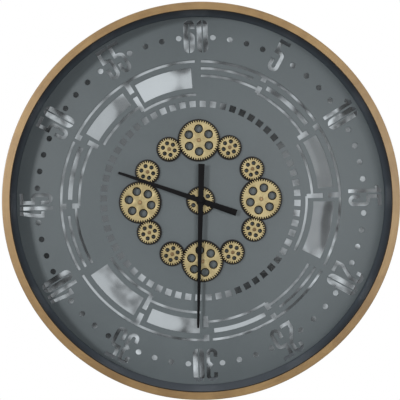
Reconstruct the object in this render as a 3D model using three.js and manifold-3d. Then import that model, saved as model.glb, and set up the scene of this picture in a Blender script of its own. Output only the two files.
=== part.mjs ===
// Round wall clock: a deep drum case, a dial cut through to a mirror behind it, and a train of
// turning wheels on the dial. Millimetres. The clock is drawn lying on its back, x to the right,
// y up the dial and z towards the viewer, and is stood up against its wall at the end.
import * as THREE from "three";
import { mergeVertices } from "three/addons/utils/BufferGeometryUtils.js";
import Module from "manifold-3d";

const wasm = await Module();
wasm.setup();

// Case
const caseRadius = 300;
const caseDepth = 80;
const bezelWidth = 12.8;
const frameSheet = 1.5;
const wallSheet = 1.2;
const roundSides = 36;
const gap = 0.3; // between pieces that touch or run in each other

// Dial, mirror and back board
const dialFront = 35; // height of the dial above the wall
const dialSheet = 1.5;
const mirrorThickness = 3;
const boardThickness = 3;
const mechanismRadius = 140; // round opening behind the dial for the wheels
const tabLength = 14;
const tabWidth = 16;
const tabCount = 6;

// Numerals, cut as stencils that stand on a circle
const numeralFoot = 231;
const numeralHeight = 51.5;
const digitWidth = 17.6;
const digitStroke = 5.8;
const digitBridge = 2;
const digitSpace = 3.1;
const dotCircle = 255.7;
const dotRadius = 4.1;
const dotSides = 5;
const dashInner = 146.4;
const dashOuter = 156.7;
const dashAngle = 3.7;
const minuteCount = 60;
const numeralCount = 12;

// Pierced band between the numerals and the dashes: lines, windows and bars
const lineWidth = 4.2;
const outerLine = 217.9;
const middleLine = 207;
const innerLine = 195.3;
const ledgeLine = 189.6;
const stepLine = 174.6;
const footLine = 165.9;
const windowTop = 207.7;
const bandFoot = 200.4;
const shortWindowFoot = 184.3;
const tallWindowFoot = 176.2;
const barAngle = 1.15; // half of a bar, in degrees
const firstBar = 29.3; // degrees from the start of each repeat
const secondBar = 59.2;
const thirdBar = 89.2;
const bandEnd = 119.3;
const lineStart = 1.8;
const lineStop = 2.5; // degrees from a line's end to the bar after it
const shortLineEnd = 25;
const windowStart = 2.8; // degrees from a bar to the window after it
const windowStop = 3.5; // degrees from a window to the bar after it
const barLap = 2; // how far a bar runs past the foot or top of a window
const barReach = 6; // how far a bar starts from a line
const bandRepeats = 3;
const arcStep = 12; // degrees of arc for each straight edge

// Wheels seen on the dial
const wheelModule = 1.25;
const bigTeeth = 50;
const smallTeeth = 28;
const centerTeeth = 33;
const addendum = 0.95; // in modules
const dedendum = 1.3;
const wheelThickness = 4;
const wheelLift = 3; // from the dial to the back of a wheel
const bigHoleCircle = 17.7;
const bigHoleRadius = 6.4;
const bigHoleSides = 6;
const smallHoleCircle = 9.4;
const smallHoleRadius = 3;
const centerHoleCircle = 13.3;
const centerHoleRadius = 3.2;
const smallHoleSides = 5;
const wheelHoles = 6;
const neighbourAngle = 30; // between wheels round the dial
const bigWheelTurns = { 12: 0, 3: -15, 6: 12, 9: 15 }; // degrees that the holes stand turned at rest

// Hidden train behind the dial
const sunTeeth = 24;
const driveTeeth = 12;
const pinionTeeth = 6;
const trainThickness = 4;
const trainDrop = 5; // from the dial's back to the hidden wheels
const rearPlateRadius = 118;
const rearPlateSheet = 1.5;
const rearPlateDrop = 4; // from the hidden wheels to the rear plate
const pillarRadius = 5;
const pillarCircle = 112;

// Arbors, studs and the nested tubes of the hands
const tubeSides = 8;
const shaftSides = 6;
const studSides = 5;
const arborRadius = 4;
const arborSeatRadius = 3;
const pivotRadius = 1.5;
const arborNose = 1;
const studFootRadius = 4.5;
const studRadius = 2;
const studHeadRadius = 3;
const studHead = 1;
const handArborRadius = 1.6;
const tubeWall = 0.9;
const bushingWall = 1.4;
const sunTubeWall = 1.2;
const sunShoulder = 0.8;
const nutRadius = 8.5;
const nutHeight = 2.2;

// Hands: the long one shows the minutes and the short one the hours
const handSheet = 1.2;
const shortTip = 134.6;
const shortTail = 58.5;
const shortTipWidth = 3.9;
const shortTailWidth = 10;
const longTip = 196.5;
const longTail = 57;
const longTipWidth = 3.2;
const longTailWidth = 9.7;
const hourHandTurn = 290.5; // degrees clockwise from the top
const minuteHandTurn = 182.85;
const shortHubRadius = 7.2;
const longHubRadius = 6;
const shortHandLift = 3.6; // from the wheels to the back of the short hand
const longHandLift = 1.8; // from the short hand to the back of the long one
const capRadius = 4;
const capHeight = 2.6;

// Movement of the hands
const movementSize = 56;
const movementDepth = 16;
const bayWall = 1;
const cellRadius = 7.1;
const cellLength = 48.5;
const cellNubRadius = 2.7;
const cellNubLength = 1.6;
const movementBayDrop = 17.4; // from the clock's axis to the cell's axis
const knobRadius = 6;
const knobHeight = 2;
const knobStemRadius = 2;
const knobStemLength = 6;
const knobAcross = 16;
const knobUp = 13;

// Gear motor and its battery box
const motorRadius = 17;
const motorSides = 12;
const motorDepth = 15.7;
const motorAngle = 225;
const motorShaftRadius = 2.5;
const motorBore = 8;
const boxLeft = -31;
const boxRight = 38;
const boxDrop = 78; // from the clock's axis to the box's middle
const boxDepth = 16.3;
const boxLip = 1.6;
const switchBay = 9;
const switchSlotLength = 8;
const switchSlotWidth = 3.6;
const switchSlotDepth = 3;
const switchKnobLength = 4;
const switchKnobHeight = 3.1;
const coverSheet = 1.5;
const coverUndercut = 0.8;

// Hanger on the back board
const hangDrop = 73; // from the top of the case down to the wall screw
const hangerWidth = 56;
const hangerHeight = 42;
const hangerFoot = 12;
const hangerSheet = 2;
const hangerBack = 2;
const hangerAbove = 17; // plate above the wall screw
const keySlotRadius = 2.8;
const keyEntryRadius = 6;
const keyTravel = 14;

// Heights above the wall that follow from the sizes above
const dialBack = dialFront - dialSheet;
const mirrorFront = dialBack - gap;
const mirrorBack = mirrorFront - mirrorThickness;
const boardFront = mirrorBack - gap;
const boardBack = boardFront - boardThickness;
const wheelBack = dialFront + wheelLift;
const wheelFront = wheelBack + wheelThickness;
const shortHandBack = wheelFront + shortHandLift;
const longHandBack = shortHandBack + handSheet + longHandLift;
const trainFront = dialBack - trainDrop;
const trainBack = trainFront - trainThickness;
const rearPlateFront = trainBack - rearPlateDrop;
const rearPlateBack = rearPlateFront - rearPlateSheet;
const behindPlate = rearPlateBack - gap; // where the units behind the plate begin
const hangHeight = caseRadius - hangDrop; // from the clock's axis up to the wall screw
const innerRadius = caseRadius - bezelWidth;
const wallRadius = innerRadius + gap;
const dialRadius = wallRadius - gap;

// Circle of the wheels: each small wheel meshes with the big one beside it
const meshDistance = ((bigTeeth + smallTeeth) * wheelModule) / 2;
const wheelCircle = meshDistance / (2 * Math.sin(THREE.MathUtils.degToRad(neighbourAngle / 2)));
const trainModule = (2 * wheelCircle) / (sunTeeth + driveTeeth);
const pinionDistance = ((sunTeeth + pinionTeeth) * trainModule) / 2;

// Radii of the nested tubes, each clear of the one inside it
const tubeBore = boreFor(handArborRadius, tubeSides);
const tubeRadius = tubeBore + tubeWall;
const bushingBore = boreFor(tubeRadius, tubeSides);
const bushingRadius = bushingBore + bushingWall;
const sunBore = boreFor(bushingRadius, tubeSides);
const sunSeatRadius = sunBore + sunTubeWall;
const sunTubeRadius = sunSeatRadius + sunShoulder;

const colours = {
  brass: [0x8f7348, 0.45, 0.8],
  darkPaint: [0x3a3e42, 0.6, 0.2],
  dialPaint: [0x5d686e, 0.55, 0.2],
  mirror: [0xc8ccd0, 0.06, 1],
  board: [0x4a4038, 0.85, 0],
  gold: [0xb69a56, 0.4, 0.7],
  blackPaint: [0x121314, 0.5, 0.2],
  steel: [0x9a9c9e, 0.35, 0.9],
  blackPlastic: [0x1c1d1f, 0.6, 0],
  whitePlastic: [0xd8d6cf, 0.5, 0],
  greyPlastic: [0x6c6f72, 0.55, 0],
  jacket: [0x2f6b4a, 0.4, 0.1],
};

const clock = new THREE.Group();

// Adds one named piece to the clock.
function add(name, geometry, colour) {
  const [color, roughness, metalness] = colours[colour];
  const material = new THREE.MeshStandardMaterial({ name: colour, color, roughness, metalness });
  const mesh = new THREE.Mesh(geometry, material);
  mesh.name = name;
  clock.add(mesh);
  return mesh;
}

// Circumradius of a hole of so many sides that clears a round shaft.
function boreFor(radius, sides) {
  return (radius + gap) / Math.cos(Math.PI / sides);
}

function polar(radius, degrees) {
  const angle = THREE.MathUtils.degToRad(degrees);
  return new THREE.Vector2(radius * Math.cos(angle), radius * Math.sin(angle));
}

function points(...pairs) {
  return pairs.map(([x, y]) => new THREE.Vector2(x, y));
}

function circle(radius, sides, center = new THREE.Vector2(), turn = 0) {
  return Array.from({ length: sides }, (_, i) => polar(radius, turn + (360 * i) / sides).add(center));
}

function rectangle(left, right, low, high) {
  return points([left, low], [right, low], [right, high], [left, high]);
}

// A flat piece between two heights, with holes.
function plate(outline, bottom, top, holes = []) {
  const shape = new THREE.Shape(outline);
  shape.holes = holes.map((hole) => new THREE.Path(hole));
  const geometry = new THREE.ExtrudeGeometry(shape, { depth: top - bottom, bevelEnabled: false });
  return geometry.translate(0, 0, bottom);
}

// A turned piece about the z axis, from pairs of radius and height, counter-clockwise. Its first
// edge lies over the x axis, as a circle's first point does.
function turned(profile, sides) {
  const geometry = new THREE.LatheGeometry(points(...profile), sides);
  return geometry.rotateX(Math.PI / 2).rotateZ(Math.PI / 2);
}

function solid(geometry) {
  const bare = geometry.index ? geometry.toNonIndexed() : geometry.clone();
  bare.deleteAttribute("normal");
  bare.deleteAttribute("uv");
  const merged = mergeVertices(bare, 1e-4);
  return new wasm.Manifold(new wasm.Mesh({
    numProp: 3,
    vertProperties: merged.attributes.position.array,
    triVerts: Uint32Array.from(merged.index.array),
  }));
}

function geometryOf(manifold) {
  const mesh = manifold.getMesh();
  const geometry = new THREE.BufferGeometry();
  geometry.setAttribute("position", new THREE.BufferAttribute(mesh.vertProperties, 3));
  geometry.setIndex(new THREE.BufferAttribute(mesh.triVerts, 1));
  return geometry;
}

function joined(...geometries) {
  return geometryOf(geometries.map(solid).reduce((whole, next) => whole.add(next)));
}

function cut(body, ...tools) {
  return geometryOf(tools.map(solid).reduce((rest, tool) => rest.subtract(tool), solid(body)));
}

// Even-width stroke along a line of points, with mitred corners.
function ribbon(line, width) {
  const left = [];
  const right = [];
  line.forEach((point, i) => {
    const before = point.clone().sub(line[Math.max(i - 1, 0)]).normalize();
    const after = line[Math.min(i + 1, line.length - 1)].clone().sub(point).normalize();
    const along = before.clone().add(after).normalize();
    const single = i === 0 ? after : before;
    const stretch = along.dot(single) || 1;
    const side = new THREE.Vector2(-along.y, along.x).multiplyScalar(width / (2 * stretch));
    left.push(point.clone().add(side));
    right.unshift(point.clone().sub(side));
  });
  return [...right.reverse(), ...left.reverse()];
}

// Points of a round bend, from one angle to another about a centre.
function bend(x, y, radius, from, to, steps) {
  const center = new THREE.Vector2(x, y);
  return Array.from({ length: steps + 1 }, (_, i) =>
    polar(radius, from + ((to - from) * i) / steps).add(center));
}

// Digits, each as a list of outlines about its own middle, standing on y = 0
const half = digitWidth / 2 - digitStroke / 2;
const top = numeralHeight;
const topLine = top - digitStroke / 2;
const footLineY = digitStroke / 2;

// One side of a split oval: -1 is the left side and 1 the right, between two heights.
function ovalSide(side, low, high, roundLow = true, roundHigh = true) {
  const radius = digitWidth / 2;
  const edge = digitBridge / 2;
  const start = THREE.MathUtils.radToDeg(Math.acos(edge / radius));
  const highEnd = roundHigh
    ? bend(0, high - radius, radius, 0, start, 2)
    : points([radius, high], [edge, high]);
  const lowEnd = roundLow
    ? bend(0, low + radius, radius, -start, 0, 2)
    : points([edge, low], [radius, low]);
  const outline = [...lowEnd, ...highEnd];
  if (side > 0) return outline;
  return outline.map((point) => new THREE.Vector2(-point.x, point.y)).reverse();
}

function zero() {
  return [ovalSide(-1, 0, top), ovalSide(1, 0, top)];
}

function one() {
  const left = -digitStroke / 2;
  const flag = left - digitStroke * 0.85;
  const drop = top - digitStroke * 1.2;
  return [
    points([left, 0], [-left, 0], [-left, top], [left + digitStroke / 6, top], [flag, drop],
      [flag, drop - digitStroke], [left, drop - digitStroke / 4]),
  ];
}

function two() {
  const line = [
    ...points([-half, top - digitStroke * 2.4]),
    ...bend(0, topLine - half, half, 180, 0, 3),
    ...points([half, top * 0.62], [-half, top * 0.24], [-half, footLineY], [half, footLineY]),
  ];
  return [ribbon(line, digitStroke)];
}

function three() {
  const notch = digitStroke * 0.75;
  const line = [
    ...points([-half, top - digitStroke * 2.4]),
    ...bend(0, topLine - half, half, 180, 0, 3),
    ...points([half, top / 2 + notch], [half - notch, top / 2], [half, top / 2 - notch]),
    ...bend(0, footLineY + half, half, 0, -180, 3),
    ...points([-half, digitStroke * 2.4]),
  ];
  return [ribbon(line, digitStroke)];
}

function four() {
  const barLeft = digitWidth / 2 - digitStroke;
  const barY = top * 0.31;
  const slope = [
    ...points([barLeft - digitBridge - digitStroke / 2, top], [-half, top * 0.48]),
    ...points([-half, barY], [barLeft - digitBridge, barY]),
  ];
  return [rectangle(barLeft, digitWidth / 2, 0, top), ribbon(slope, digitStroke)];
}

function five() {
  const bowl = top * 0.6;
  const line = [
    ...points([half + digitStroke / 2, topLine], [-half, topLine], [-half, bowl]),
    ...bend(0, bowl - half, half, 90, 0, 1),
    ...bend(0, footLineY + half, half, 0, -180, 3),
    ...points([-half, top * 0.36]),
  ];
  return [ribbon(line, digitStroke)];
}

function six() {
  const hook = top - digitStroke * 2.4;
  return [
    ovalSide(-1, 0, top),
    ovalSide(1, hook, top, false, true),
    rectangle(-digitBridge, digitBridge, top - digitStroke * 1.3, top - digitBridge / 4),
    ovalSide(1, 0, top * 0.64),
  ];
}

const digits = { 0: zero, 1: one, 2: two, 3: three, 4: four, 5: five, 6: six };

function digitSpan(digit) {
  return digit === "1" ? digitStroke * 1.85 : digitWidth;
}

// Middle of a digit's outline, which for the figure 1 stands off its bar.
function digitMiddle(digit) {
  return digit === "1" ? -digitStroke * 0.425 : 0;
}

// Turns an outline drawn at the top of the dial clockwise round the dial.
function aroundDial(outline, degrees) {
  const angle = THREE.MathUtils.degToRad(-degrees);
  return outline.map((point) => point.clone().rotateAround(new THREE.Vector2(), angle));
}

function numeral(text, degrees) {
  const spans = [...text].map(digitSpan);
  const whole = spans.reduce((sum, span) => sum + span, digitSpace * (spans.length - 1));
  let left = -whole / 2;
  return [...text].flatMap((digit, i) => {
    const middle = left + spans[i] / 2 - digitMiddle(digit);
    left += spans[i] + digitSpace;
    const shift = new THREE.Vector2(middle, numeralFoot);
    return digits[digit]().map((outline) => aroundDial(outline.map((p) => p.add(shift)), degrees));
  });
}

// A slot between two radii and two dial angles, clockwise from the top.
function slot(inner, outer, from, to) {
  const steps = Math.max(1, Math.round((to - from) / arcStep));
  const angles = Array.from({ length: steps + 1 }, (_, i) => 90 - from - ((to - from) * i) / steps);
  const far = angles.map((angle) => polar(outer, angle)).reverse();
  const near = angles.map((angle) => polar(inner, angle));
  return [...near, ...far];
}

function line(radius, from, to) {
  return slot(radius - lineWidth / 2, radius + lineWidth / 2, from, to);
}

function bar(inner, outer, middle) {
  return slot(inner, outer, middle - barAngle, middle + barAngle);
}

// One repeat of the pierced band: three lines, a narrow band, a short and a tall window.
function piercedBand(start) {
  const first = start + firstBar;
  const second = start + secondBar;
  const third = start + thirdBar;
  const end = start + bandEnd;
  return [
    line(outerLine, start + lineStart, second - lineStop),
    line(middleLine, start + lineStart, start + shortLineEnd),
    line(innerLine, start + lineStart, first),
    bar(windowTop + barLap, outerLine, first),
    bar(ledgeLine, innerLine + barReach, first),
    slot(bandFoot, windowTop, first + windowStart, second - windowStop),
    line(ledgeLine, first, second),
    bar(windowTop + barLap, outerLine, second),
    bar(stepLine + barReach, bandFoot - barLap, second),
    line(outerLine, second - barAngle, end),
    slot(shortWindowFoot, windowTop, second + windowStart, third - windowStop),
    line(stepLine, second + lineStop, third),
    bar(bandFoot - barLap, outerLine, third),
    bar(footLine, ledgeLine + barLap, third),
    slot(tallWindowFoot, windowTop, third + windowStart, end - lineStart),
    line(footLine, third, end),
  ];
}

function minuteMarks() {
  const step = 360 / minuteCount;
  const minutes = Array.from({ length: minuteCount }, (_, i) => i * step);
  const dots = minutes
    .filter((angle) => angle % neighbourAngle !== 0)
    .map((angle) => circle(dotRadius, dotSides, polar(dotCircle, 90 - angle), 90 - angle));
  const dashes = minutes.map((angle) => {
    const middle = angle + step / 2;
    return slot(dashInner, dashOuter, middle - dashAngle / 2, middle + dashAngle / 2);
  });
  return [...dots, ...dashes];
}

// Wheels. A tooth is a point at its tip and a point at its root.
function toothed(teeth, module, phase) {
  const tip = (teeth * module) / 2 + addendum * module;
  const root = (teeth * module) / 2 - dedendum * module;
  return Array.from({ length: teeth * 2 }, (_, i) =>
    polar(i % 2 === 0 ? tip : root, phase + (180 * i) / teeth));
}

// Tooth phase of a wheel that meshes with another, in the direction from that one to it.
function meshedPhase(direction, phase, teeth, nextTeeth) {
  return direction + 180 - 180 / nextTeeth + ((direction - phase) * teeth) / nextTeeth;
}

function ringOfHoles(radius, sides, circleRadius, turn) {
  return Array.from({ length: wheelHoles }, (_, i) =>
    circle(radius, sides, polar(circleRadius, turn + (360 * i) / wheelHoles)));
}

function dialWheel(teeth, phase, bore, holes) {
  return plate(toothed(teeth, wheelModule, phase), wheelBack, wheelFront, [bore, ...holes]);
}

function makeCase() {
  const inner = innerRadius;
  const outer = caseRadius;
  const skin = outer - frameSheet;
  const front = caseDepth - frameSheet;
  add("outer_frame", turned([
    [inner, 0], [outer, 0], [outer, caseDepth], [inner, caseDepth],
    [inner, front], [skin, front], [skin, frameSheet], [inner, frameSheet], [inner, 0],
  ], roundSides), "brass");
  const low = frameSheet + gap;
  const high = front - gap;
  add("inner_wall", turned([
    [wallRadius, low], [wallRadius + wallSheet, low],
    [wallRadius + wallSheet, high], [wallRadius, high], [wallRadius, low],
  ], roundSides), "darkPaint");
}

function makeDial() {
  const round = circle(dialRadius, roundSides);
  const centerHole = circle(boreFor(sunTubeRadius, tubeSides), tubeSides);
  const arborHoles = [0, 1, 2, 3].map((i) =>
    circle(boreFor(arborRadius, shaftSides), shaftSides, polar(wheelCircle, 90 * i)));
  const blank = plate(round, dialBack, dialFront, [centerHole, ...arborHoles]);
  const each = minuteCount / numeralCount;
  const numerals = Array.from({ length: numeralCount }, (_, i) =>
    numeral(String(i === 0 ? minuteCount : i * each), neighbourAngle * i)).flat();
  const band = Array.from({ length: bandRepeats }, (_, i) =>
    piercedBand((360 * i) / bandRepeats)).flat();
  const cutters = [...numerals, ...band, ...minuteMarks()].map((outline) =>
    plate(outline, dialBack - dialSheet, dialFront + dialSheet));
  add("dial_plate", cut(blank, ...cutters), "dialPaint");
  const opening = circle(mechanismRadius, roundSides / 2);
  add("mirror_ring", plate(round, mirrorBack, mirrorFront, [opening]), "mirror");
  add("back_board", plate(round, boardBack, boardFront, [opening]), "board");
}

// Small angle pieces that hold the back board in the case wall.
function makeTabs() {
  const flat = wallRadius * Math.cos(Math.PI / roundSides) - gap;
  const high = boardBack - gap;
  const profile = points(
    [flat, high], [flat - tabLength, high], [flat - tabLength, high - frameSheet],
    [flat - frameSheet, high - frameSheet], [flat - frameSheet, high - tabLength],
    [flat, high - tabLength]);
  for (let i = 0; i < tabCount; i++) {
    const tab = plate(profile, -tabWidth / 2, tabWidth / 2).rotateX(Math.PI / 2);
    const turn = 180 / roundSides + (360 / tabCount) * (i + 0.5);
    tab.rotateZ(THREE.MathUtils.degToRad(turn));
    add(`board_bracket_${i + 1}`, tab, "steel");
  }
}

function makeWheels() {
  const bigBore = circle(arborSeatRadius + gap, shaftSides);
  const smallBore = circle(boreFor(studRadius, studSides), studSides);
  const foot = dialFront + gap;
  const stud = [
    [0, foot], [studFootRadius, foot], [studFootRadius, wheelBack - gap],
    [studRadius, wheelBack - gap], [studRadius, wheelFront + gap],
    [studHeadRadius, wheelFront + gap], [studHeadRadius, wheelFront + gap + studHead],
    [0, wheelFront + gap + studHead],
  ];
  Object.entries(bigWheelTurns).forEach(([hour, holeTurn]) => {
    const place = 90 - neighbourAngle * hour;
    const phase = place;
    const center = polar(wheelCircle, place);
    const big = dialWheel(bigTeeth, phase, bigBore,
      ringOfHoles(bigHoleRadius, bigHoleSides, bigHoleCircle, 90 + holeTurn));
    add(`big_wheel_${hour}`, big, "gold").position.set(center.x, center.y, 0);
    [-1, 1].forEach((side) => {
      const smallHour = ((Number(hour) + side + 11) % 12) + 1;
      const direction = place - side * (90 + neighbourAngle / 2);
      const smallPhase = meshedPhase(direction, phase, bigTeeth, smallTeeth);
      const small = dialWheel(smallTeeth, smallPhase, smallBore,
        ringOfHoles(smallHoleRadius, smallHoleSides, smallHoleCircle, direction + 30));
      const spot = polar(wheelCircle, place - side * neighbourAngle);
      add(`small_wheel_${smallHour}`, small, "gold").position.set(spot.x, spot.y, 0);
      add(`stud_${smallHour}`, turned(stud, studSides), "steel").position.set(spot.x, spot.y, 0);
    });
  });
  add("center_wheel", dialWheel(centerTeeth, 90, circle(sunSeatRadius + gap, tubeSides),
    ringOfHoles(centerHoleRadius, smallHoleSides, centerHoleCircle, 90)), "gold");
}

// Hidden train: the motor's pinion turns the sun wheel, which turns four arbors at once.
function makeTrain() {
  const sunPhase = 90;
  const tube = turned([
    [0, rearPlateFront + gap], [sunTubeRadius, rearPlateFront + gap],
    [sunTubeRadius, wheelBack - gap], [sunSeatRadius, wheelBack - gap],
    [sunSeatRadius, wheelFront], [0, wheelFront],
  ], tubeSides);
  const sunDisc = plate(toothed(sunTeeth, trainModule, sunPhase), trainBack, trainFront);
  const sunHole = plate(circle(sunBore, tubeSides), 0, caseDepth);
  add("sun_wheel", cut(joined(sunDisc, tube), sunHole), "whitePlastic");
  const arbor = turned([
    [0, rearPlateBack - gap], [pivotRadius, rearPlateBack - gap],
    [pivotRadius, rearPlateFront + gap], [arborRadius, rearPlateFront + gap],
    [arborRadius, wheelBack - gap], [arborSeatRadius, wheelBack - gap],
    [arborSeatRadius, wheelFront + arborNose], [0, wheelFront + arborNose],
  ], shaftSides);
  Object.keys(bigWheelTurns).forEach((hour) => {
    const place = 90 - neighbourAngle * hour;
    const phase = meshedPhase(place, sunPhase, sunTeeth, driveTeeth);
    const disc = plate(toothed(driveTeeth, trainModule, phase), trainBack, trainFront);
    const center = polar(wheelCircle, place);
    add(`drive_arbor_${hour}`, joined(disc, arbor), "whitePlastic").position.set(center.x, center.y, 0);
  });
  const pinionPhase = meshedPhase(motorAngle, sunPhase, sunTeeth, pinionTeeth);
  const pinion = plate(toothed(pinionTeeth, trainModule, pinionPhase), trainBack, trainFront);
  const shaft = turned([
    [0, behindPlate - motorBore + gap], [motorShaftRadius, behindPlate - motorBore + gap],
    [motorShaftRadius, trainFront + gap], [0, trainFront + gap],
  ], shaftSides);
  const spot = polar(pinionDistance, motorAngle);
  add("motor_pinion", joined(pinion, shaft), "whitePlastic").position.set(spot.x, spot.y, 0);
}

function makeRearPlate() {
  const spot = polar(pinionDistance, motorAngle);
  const pivots = [0, 1, 2, 3].map((i) =>
    circle(boreFor(pivotRadius, shaftSides), shaftSides, polar(wheelCircle, 90 * i)));
  const holes = [
    circle(bushingRadius + gap, tubeSides),
    circle(boreFor(motorShaftRadius, shaftSides), shaftSides, spot),
    ...pivots,
  ];
  const round = circle(rearPlateRadius, roundSides / 2);
  add("rear_plate", plate(round, rearPlateBack, rearPlateFront, holes), "steel");
  for (let i = 0; i < 4; i++) {
    const pillar = plate(circle(pillarRadius, 6), rearPlateFront + gap, dialBack - gap);
    const place = polar(pillarCircle, 45 + 90 * i);
    add(`plate_pillar_${i + 1}`, pillar, "steel").position.set(place.x, place.y, 0);
  }
}

function makeCell(name, x, y, z) {
  const cell = turned([
    [0, 0], [cellRadius, 0], [cellRadius, cellLength], [cellNubRadius, cellLength],
    [cellNubRadius, cellLength + cellNubLength], [0, cellLength + cellNubLength],
  ], shaftSides).rotateY(Math.PI / 2);
  cell.translate(x - (cellLength + cellNubLength) / 2, y, z);
  add(name, cell, "jacket");
}

// Movement of the hands: a case with a threaded bushing, its cell and its setting knob.
function makeMovement() {
  const back = behindPlate - movementDepth;
  const side = movementSize / 2;
  const bushingFront = wheelFront + gap + nutHeight;
  const body = plate(rectangle(-side, side, -side, side), back, behindPlate);
  const bushing = plate(circle(bushingRadius, tubeSides), behindPlate - 1, bushingFront);
  const bayLength = cellLength + cellNubLength + 2 * gap;
  const bayWidth = 2 * (cellRadius + gap);
  const bayTop = -movementBayDrop + bayWidth / 2;
  const bay = plate(rectangle(-bayLength / 2, bayLength / 2, bayTop - bayWidth, bayTop),
    back - 1, behindPlate - bayWall);
  const well = plate(circle(bushingBore, tubeSides), back + bayWall, caseDepth);
  const knobWell = plate(circle(boreFor(knobStemRadius, shaftSides), shaftSides,
    new THREE.Vector2(knobAcross, knobUp)), back - 1, back + knobStemLength + gap);
  add("movement_case", cut(joined(body, bushing), bay, well, knobWell), "blackPlastic");
  makeCell("movement_cell", 0, -movementBayDrop, behindPlate - bayWall - gap - cellRadius);
  const knobTop = back - gap;
  const knob = turned([
    [0, knobTop - knobHeight], [knobRadius, knobTop - knobHeight], [knobRadius, knobTop],
    [knobStemRadius, knobTop], [knobStemRadius, back + knobStemLength], [0, back + knobStemLength],
  ], shaftSides);
  add("set_knob", knob, "whitePlastic").position.set(knobAcross, knobUp, 0);
  add("stem_nut", plate(circle(nutRadius, 6), wheelFront + gap, bushingFront,
    [circle(bushingRadius + gap, tubeSides)]), "blackPaint");
  const pipeBack = back + bayWall + gap;
  add("hour_pipe", plate(circle(tubeRadius, tubeSides), pipeBack, shortHandBack + handSheet + gap,
    [circle(tubeBore, tubeSides)]), "steel");
  add("minute_arbor", plate(circle(handArborRadius, tubeSides), pipeBack,
    longHandBack + handSheet + capHeight / 2), "steel");
}

// A hand is a long taper with a blunt tail and a round hub.
function hand(tip, tail, tipWidth, tailWidth, hubRadius, back, bore, turn) {
  const blade = points([-tailWidth / 2, -tail], [tailWidth / 2, -tail], [tipWidth / 2, tip],
    [-tipWidth / 2, tip]);
  const body = joined(plate(blade, back, back + handSheet),
    plate(circle(hubRadius, tubeSides), back, back + handSheet));
  body.rotateZ(THREE.MathUtils.degToRad(-turn));
  return cut(body, plate(circle(bore, tubeSides), 0, caseDepth));
}

function makeHands() {
  add("hour_hand", hand(shortTip, shortTail, shortTipWidth, shortTailWidth, shortHubRadius,
    shortHandBack, tubeRadius + gap, hourHandTurn), "blackPaint");
  add("minute_hand", hand(longTip, longTail, longTipWidth, longTailWidth,
    longHubRadius, longHandBack, handArborRadius + gap, minuteHandTurn), "blackPaint");
  const base = longHandBack + handSheet + gap;
  const hole = handArborRadius + gap;
  add("hand_cap", turned([
    [0, base + capHeight / 2], [hole, base + capHeight / 2], [hole, base], [capRadius, base],
    [capRadius, base + capHeight / 2], [capRadius * 0.6, base + capHeight], [0, base + capHeight],
  ], tubeSides), "blackPaint");
}

function makeMotor() {
  const spot = polar(pinionDistance, motorAngle);
  const body = plate(circle(motorRadius, motorSides), behindPlate - motorDepth, behindPlate);
  const bore = plate(circle(boreFor(motorShaftRadius, shaftSides), shaftSides),
    behindPlate - motorBore, caseDepth);
  add("gear_motor", cut(body, bore), "blackPlastic").position.set(spot.x, spot.y, 0);
}

// The sliding cover's dovetailed form, along x between two heights: wider towards the cells.
function coverPrism(halfWidth, back, front, from, to) {
  const narrow = halfWidth - coverUndercut;
  const section = points([-narrow, back], [narrow, back], [halfWidth, front], [-halfWidth, front]);
  const prism = plate(section, from, to).rotateX(Math.PI / 2).rotateZ(Math.PI / 2);
  return prism.translate(0, -boxDrop, 0);
}

// Battery box of the motor: two cells, a sliding cover between two lips, and a slide switch.
function makeBatteryBox() {
  const back = behindPlate - boxDepth;
  const bayWidth = 4 * cellRadius + 3 * gap;
  const bayLength = cellLength + cellNubLength + 2 * gap;
  const coverWidth = bayWidth + 2 * bayWall;
  const width = coverWidth + 2 * gap + 2 * boxLip;
  const middle = -boxDrop;
  const lipBack = back - gap - coverSheet;
  const bayLeft = boxLeft + switchBay;
  const body = plate(rectangle(boxLeft, boxRight, middle - width / 2, middle + width / 2),
    lipBack, behindPlate);
  const track = coverPrism(coverWidth / 2 + gap, lipBack, back, bayLeft, boxRight + 1);
  const bayMiddle = (bayLeft + boxRight) / 2;
  const bay = plate(rectangle(bayMiddle - bayLength / 2, bayMiddle + bayLength / 2,
    middle - bayWidth / 2, middle + bayWidth / 2), back - 1, behindPlate - bayWall);
  const switchX = boxLeft + switchBay / 2;
  const switchSlot = plate(rectangle(switchX - switchSlotWidth / 2, switchX + switchSlotWidth / 2,
    middle - switchSlotLength / 2, middle + switchSlotLength / 2), lipBack - 1,
  lipBack + switchSlotDepth);
  add("battery_box", cut(body, track, bay, switchSlot), "blackPlastic");
  const cellHeight = behindPlate - bayWall - gap - cellRadius;
  const apart = cellRadius + gap / 2;
  makeCell("box_cell_upper", bayMiddle, middle + apart, cellHeight);
  makeCell("box_cell_lower", bayMiddle, middle - apart, cellHeight);
  const cover = coverPrism(coverWidth / 2, lipBack, back - gap, bayLeft + gap, boxRight);
  add("battery_cover", cover, "blackPlastic");
  const knobLow = middle - switchSlotLength / 2 + gap;
  const knobTop = lipBack + switchSlotDepth - gap;
  add("power_switch", plate(rectangle(switchX - switchSlotWidth / 2 + gap,
    switchX + switchSlotWidth / 2 - gap, knobLow, knobLow + switchKnobLength),
  knobTop - switchKnobHeight, knobTop), "greyPlastic");
}

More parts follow.
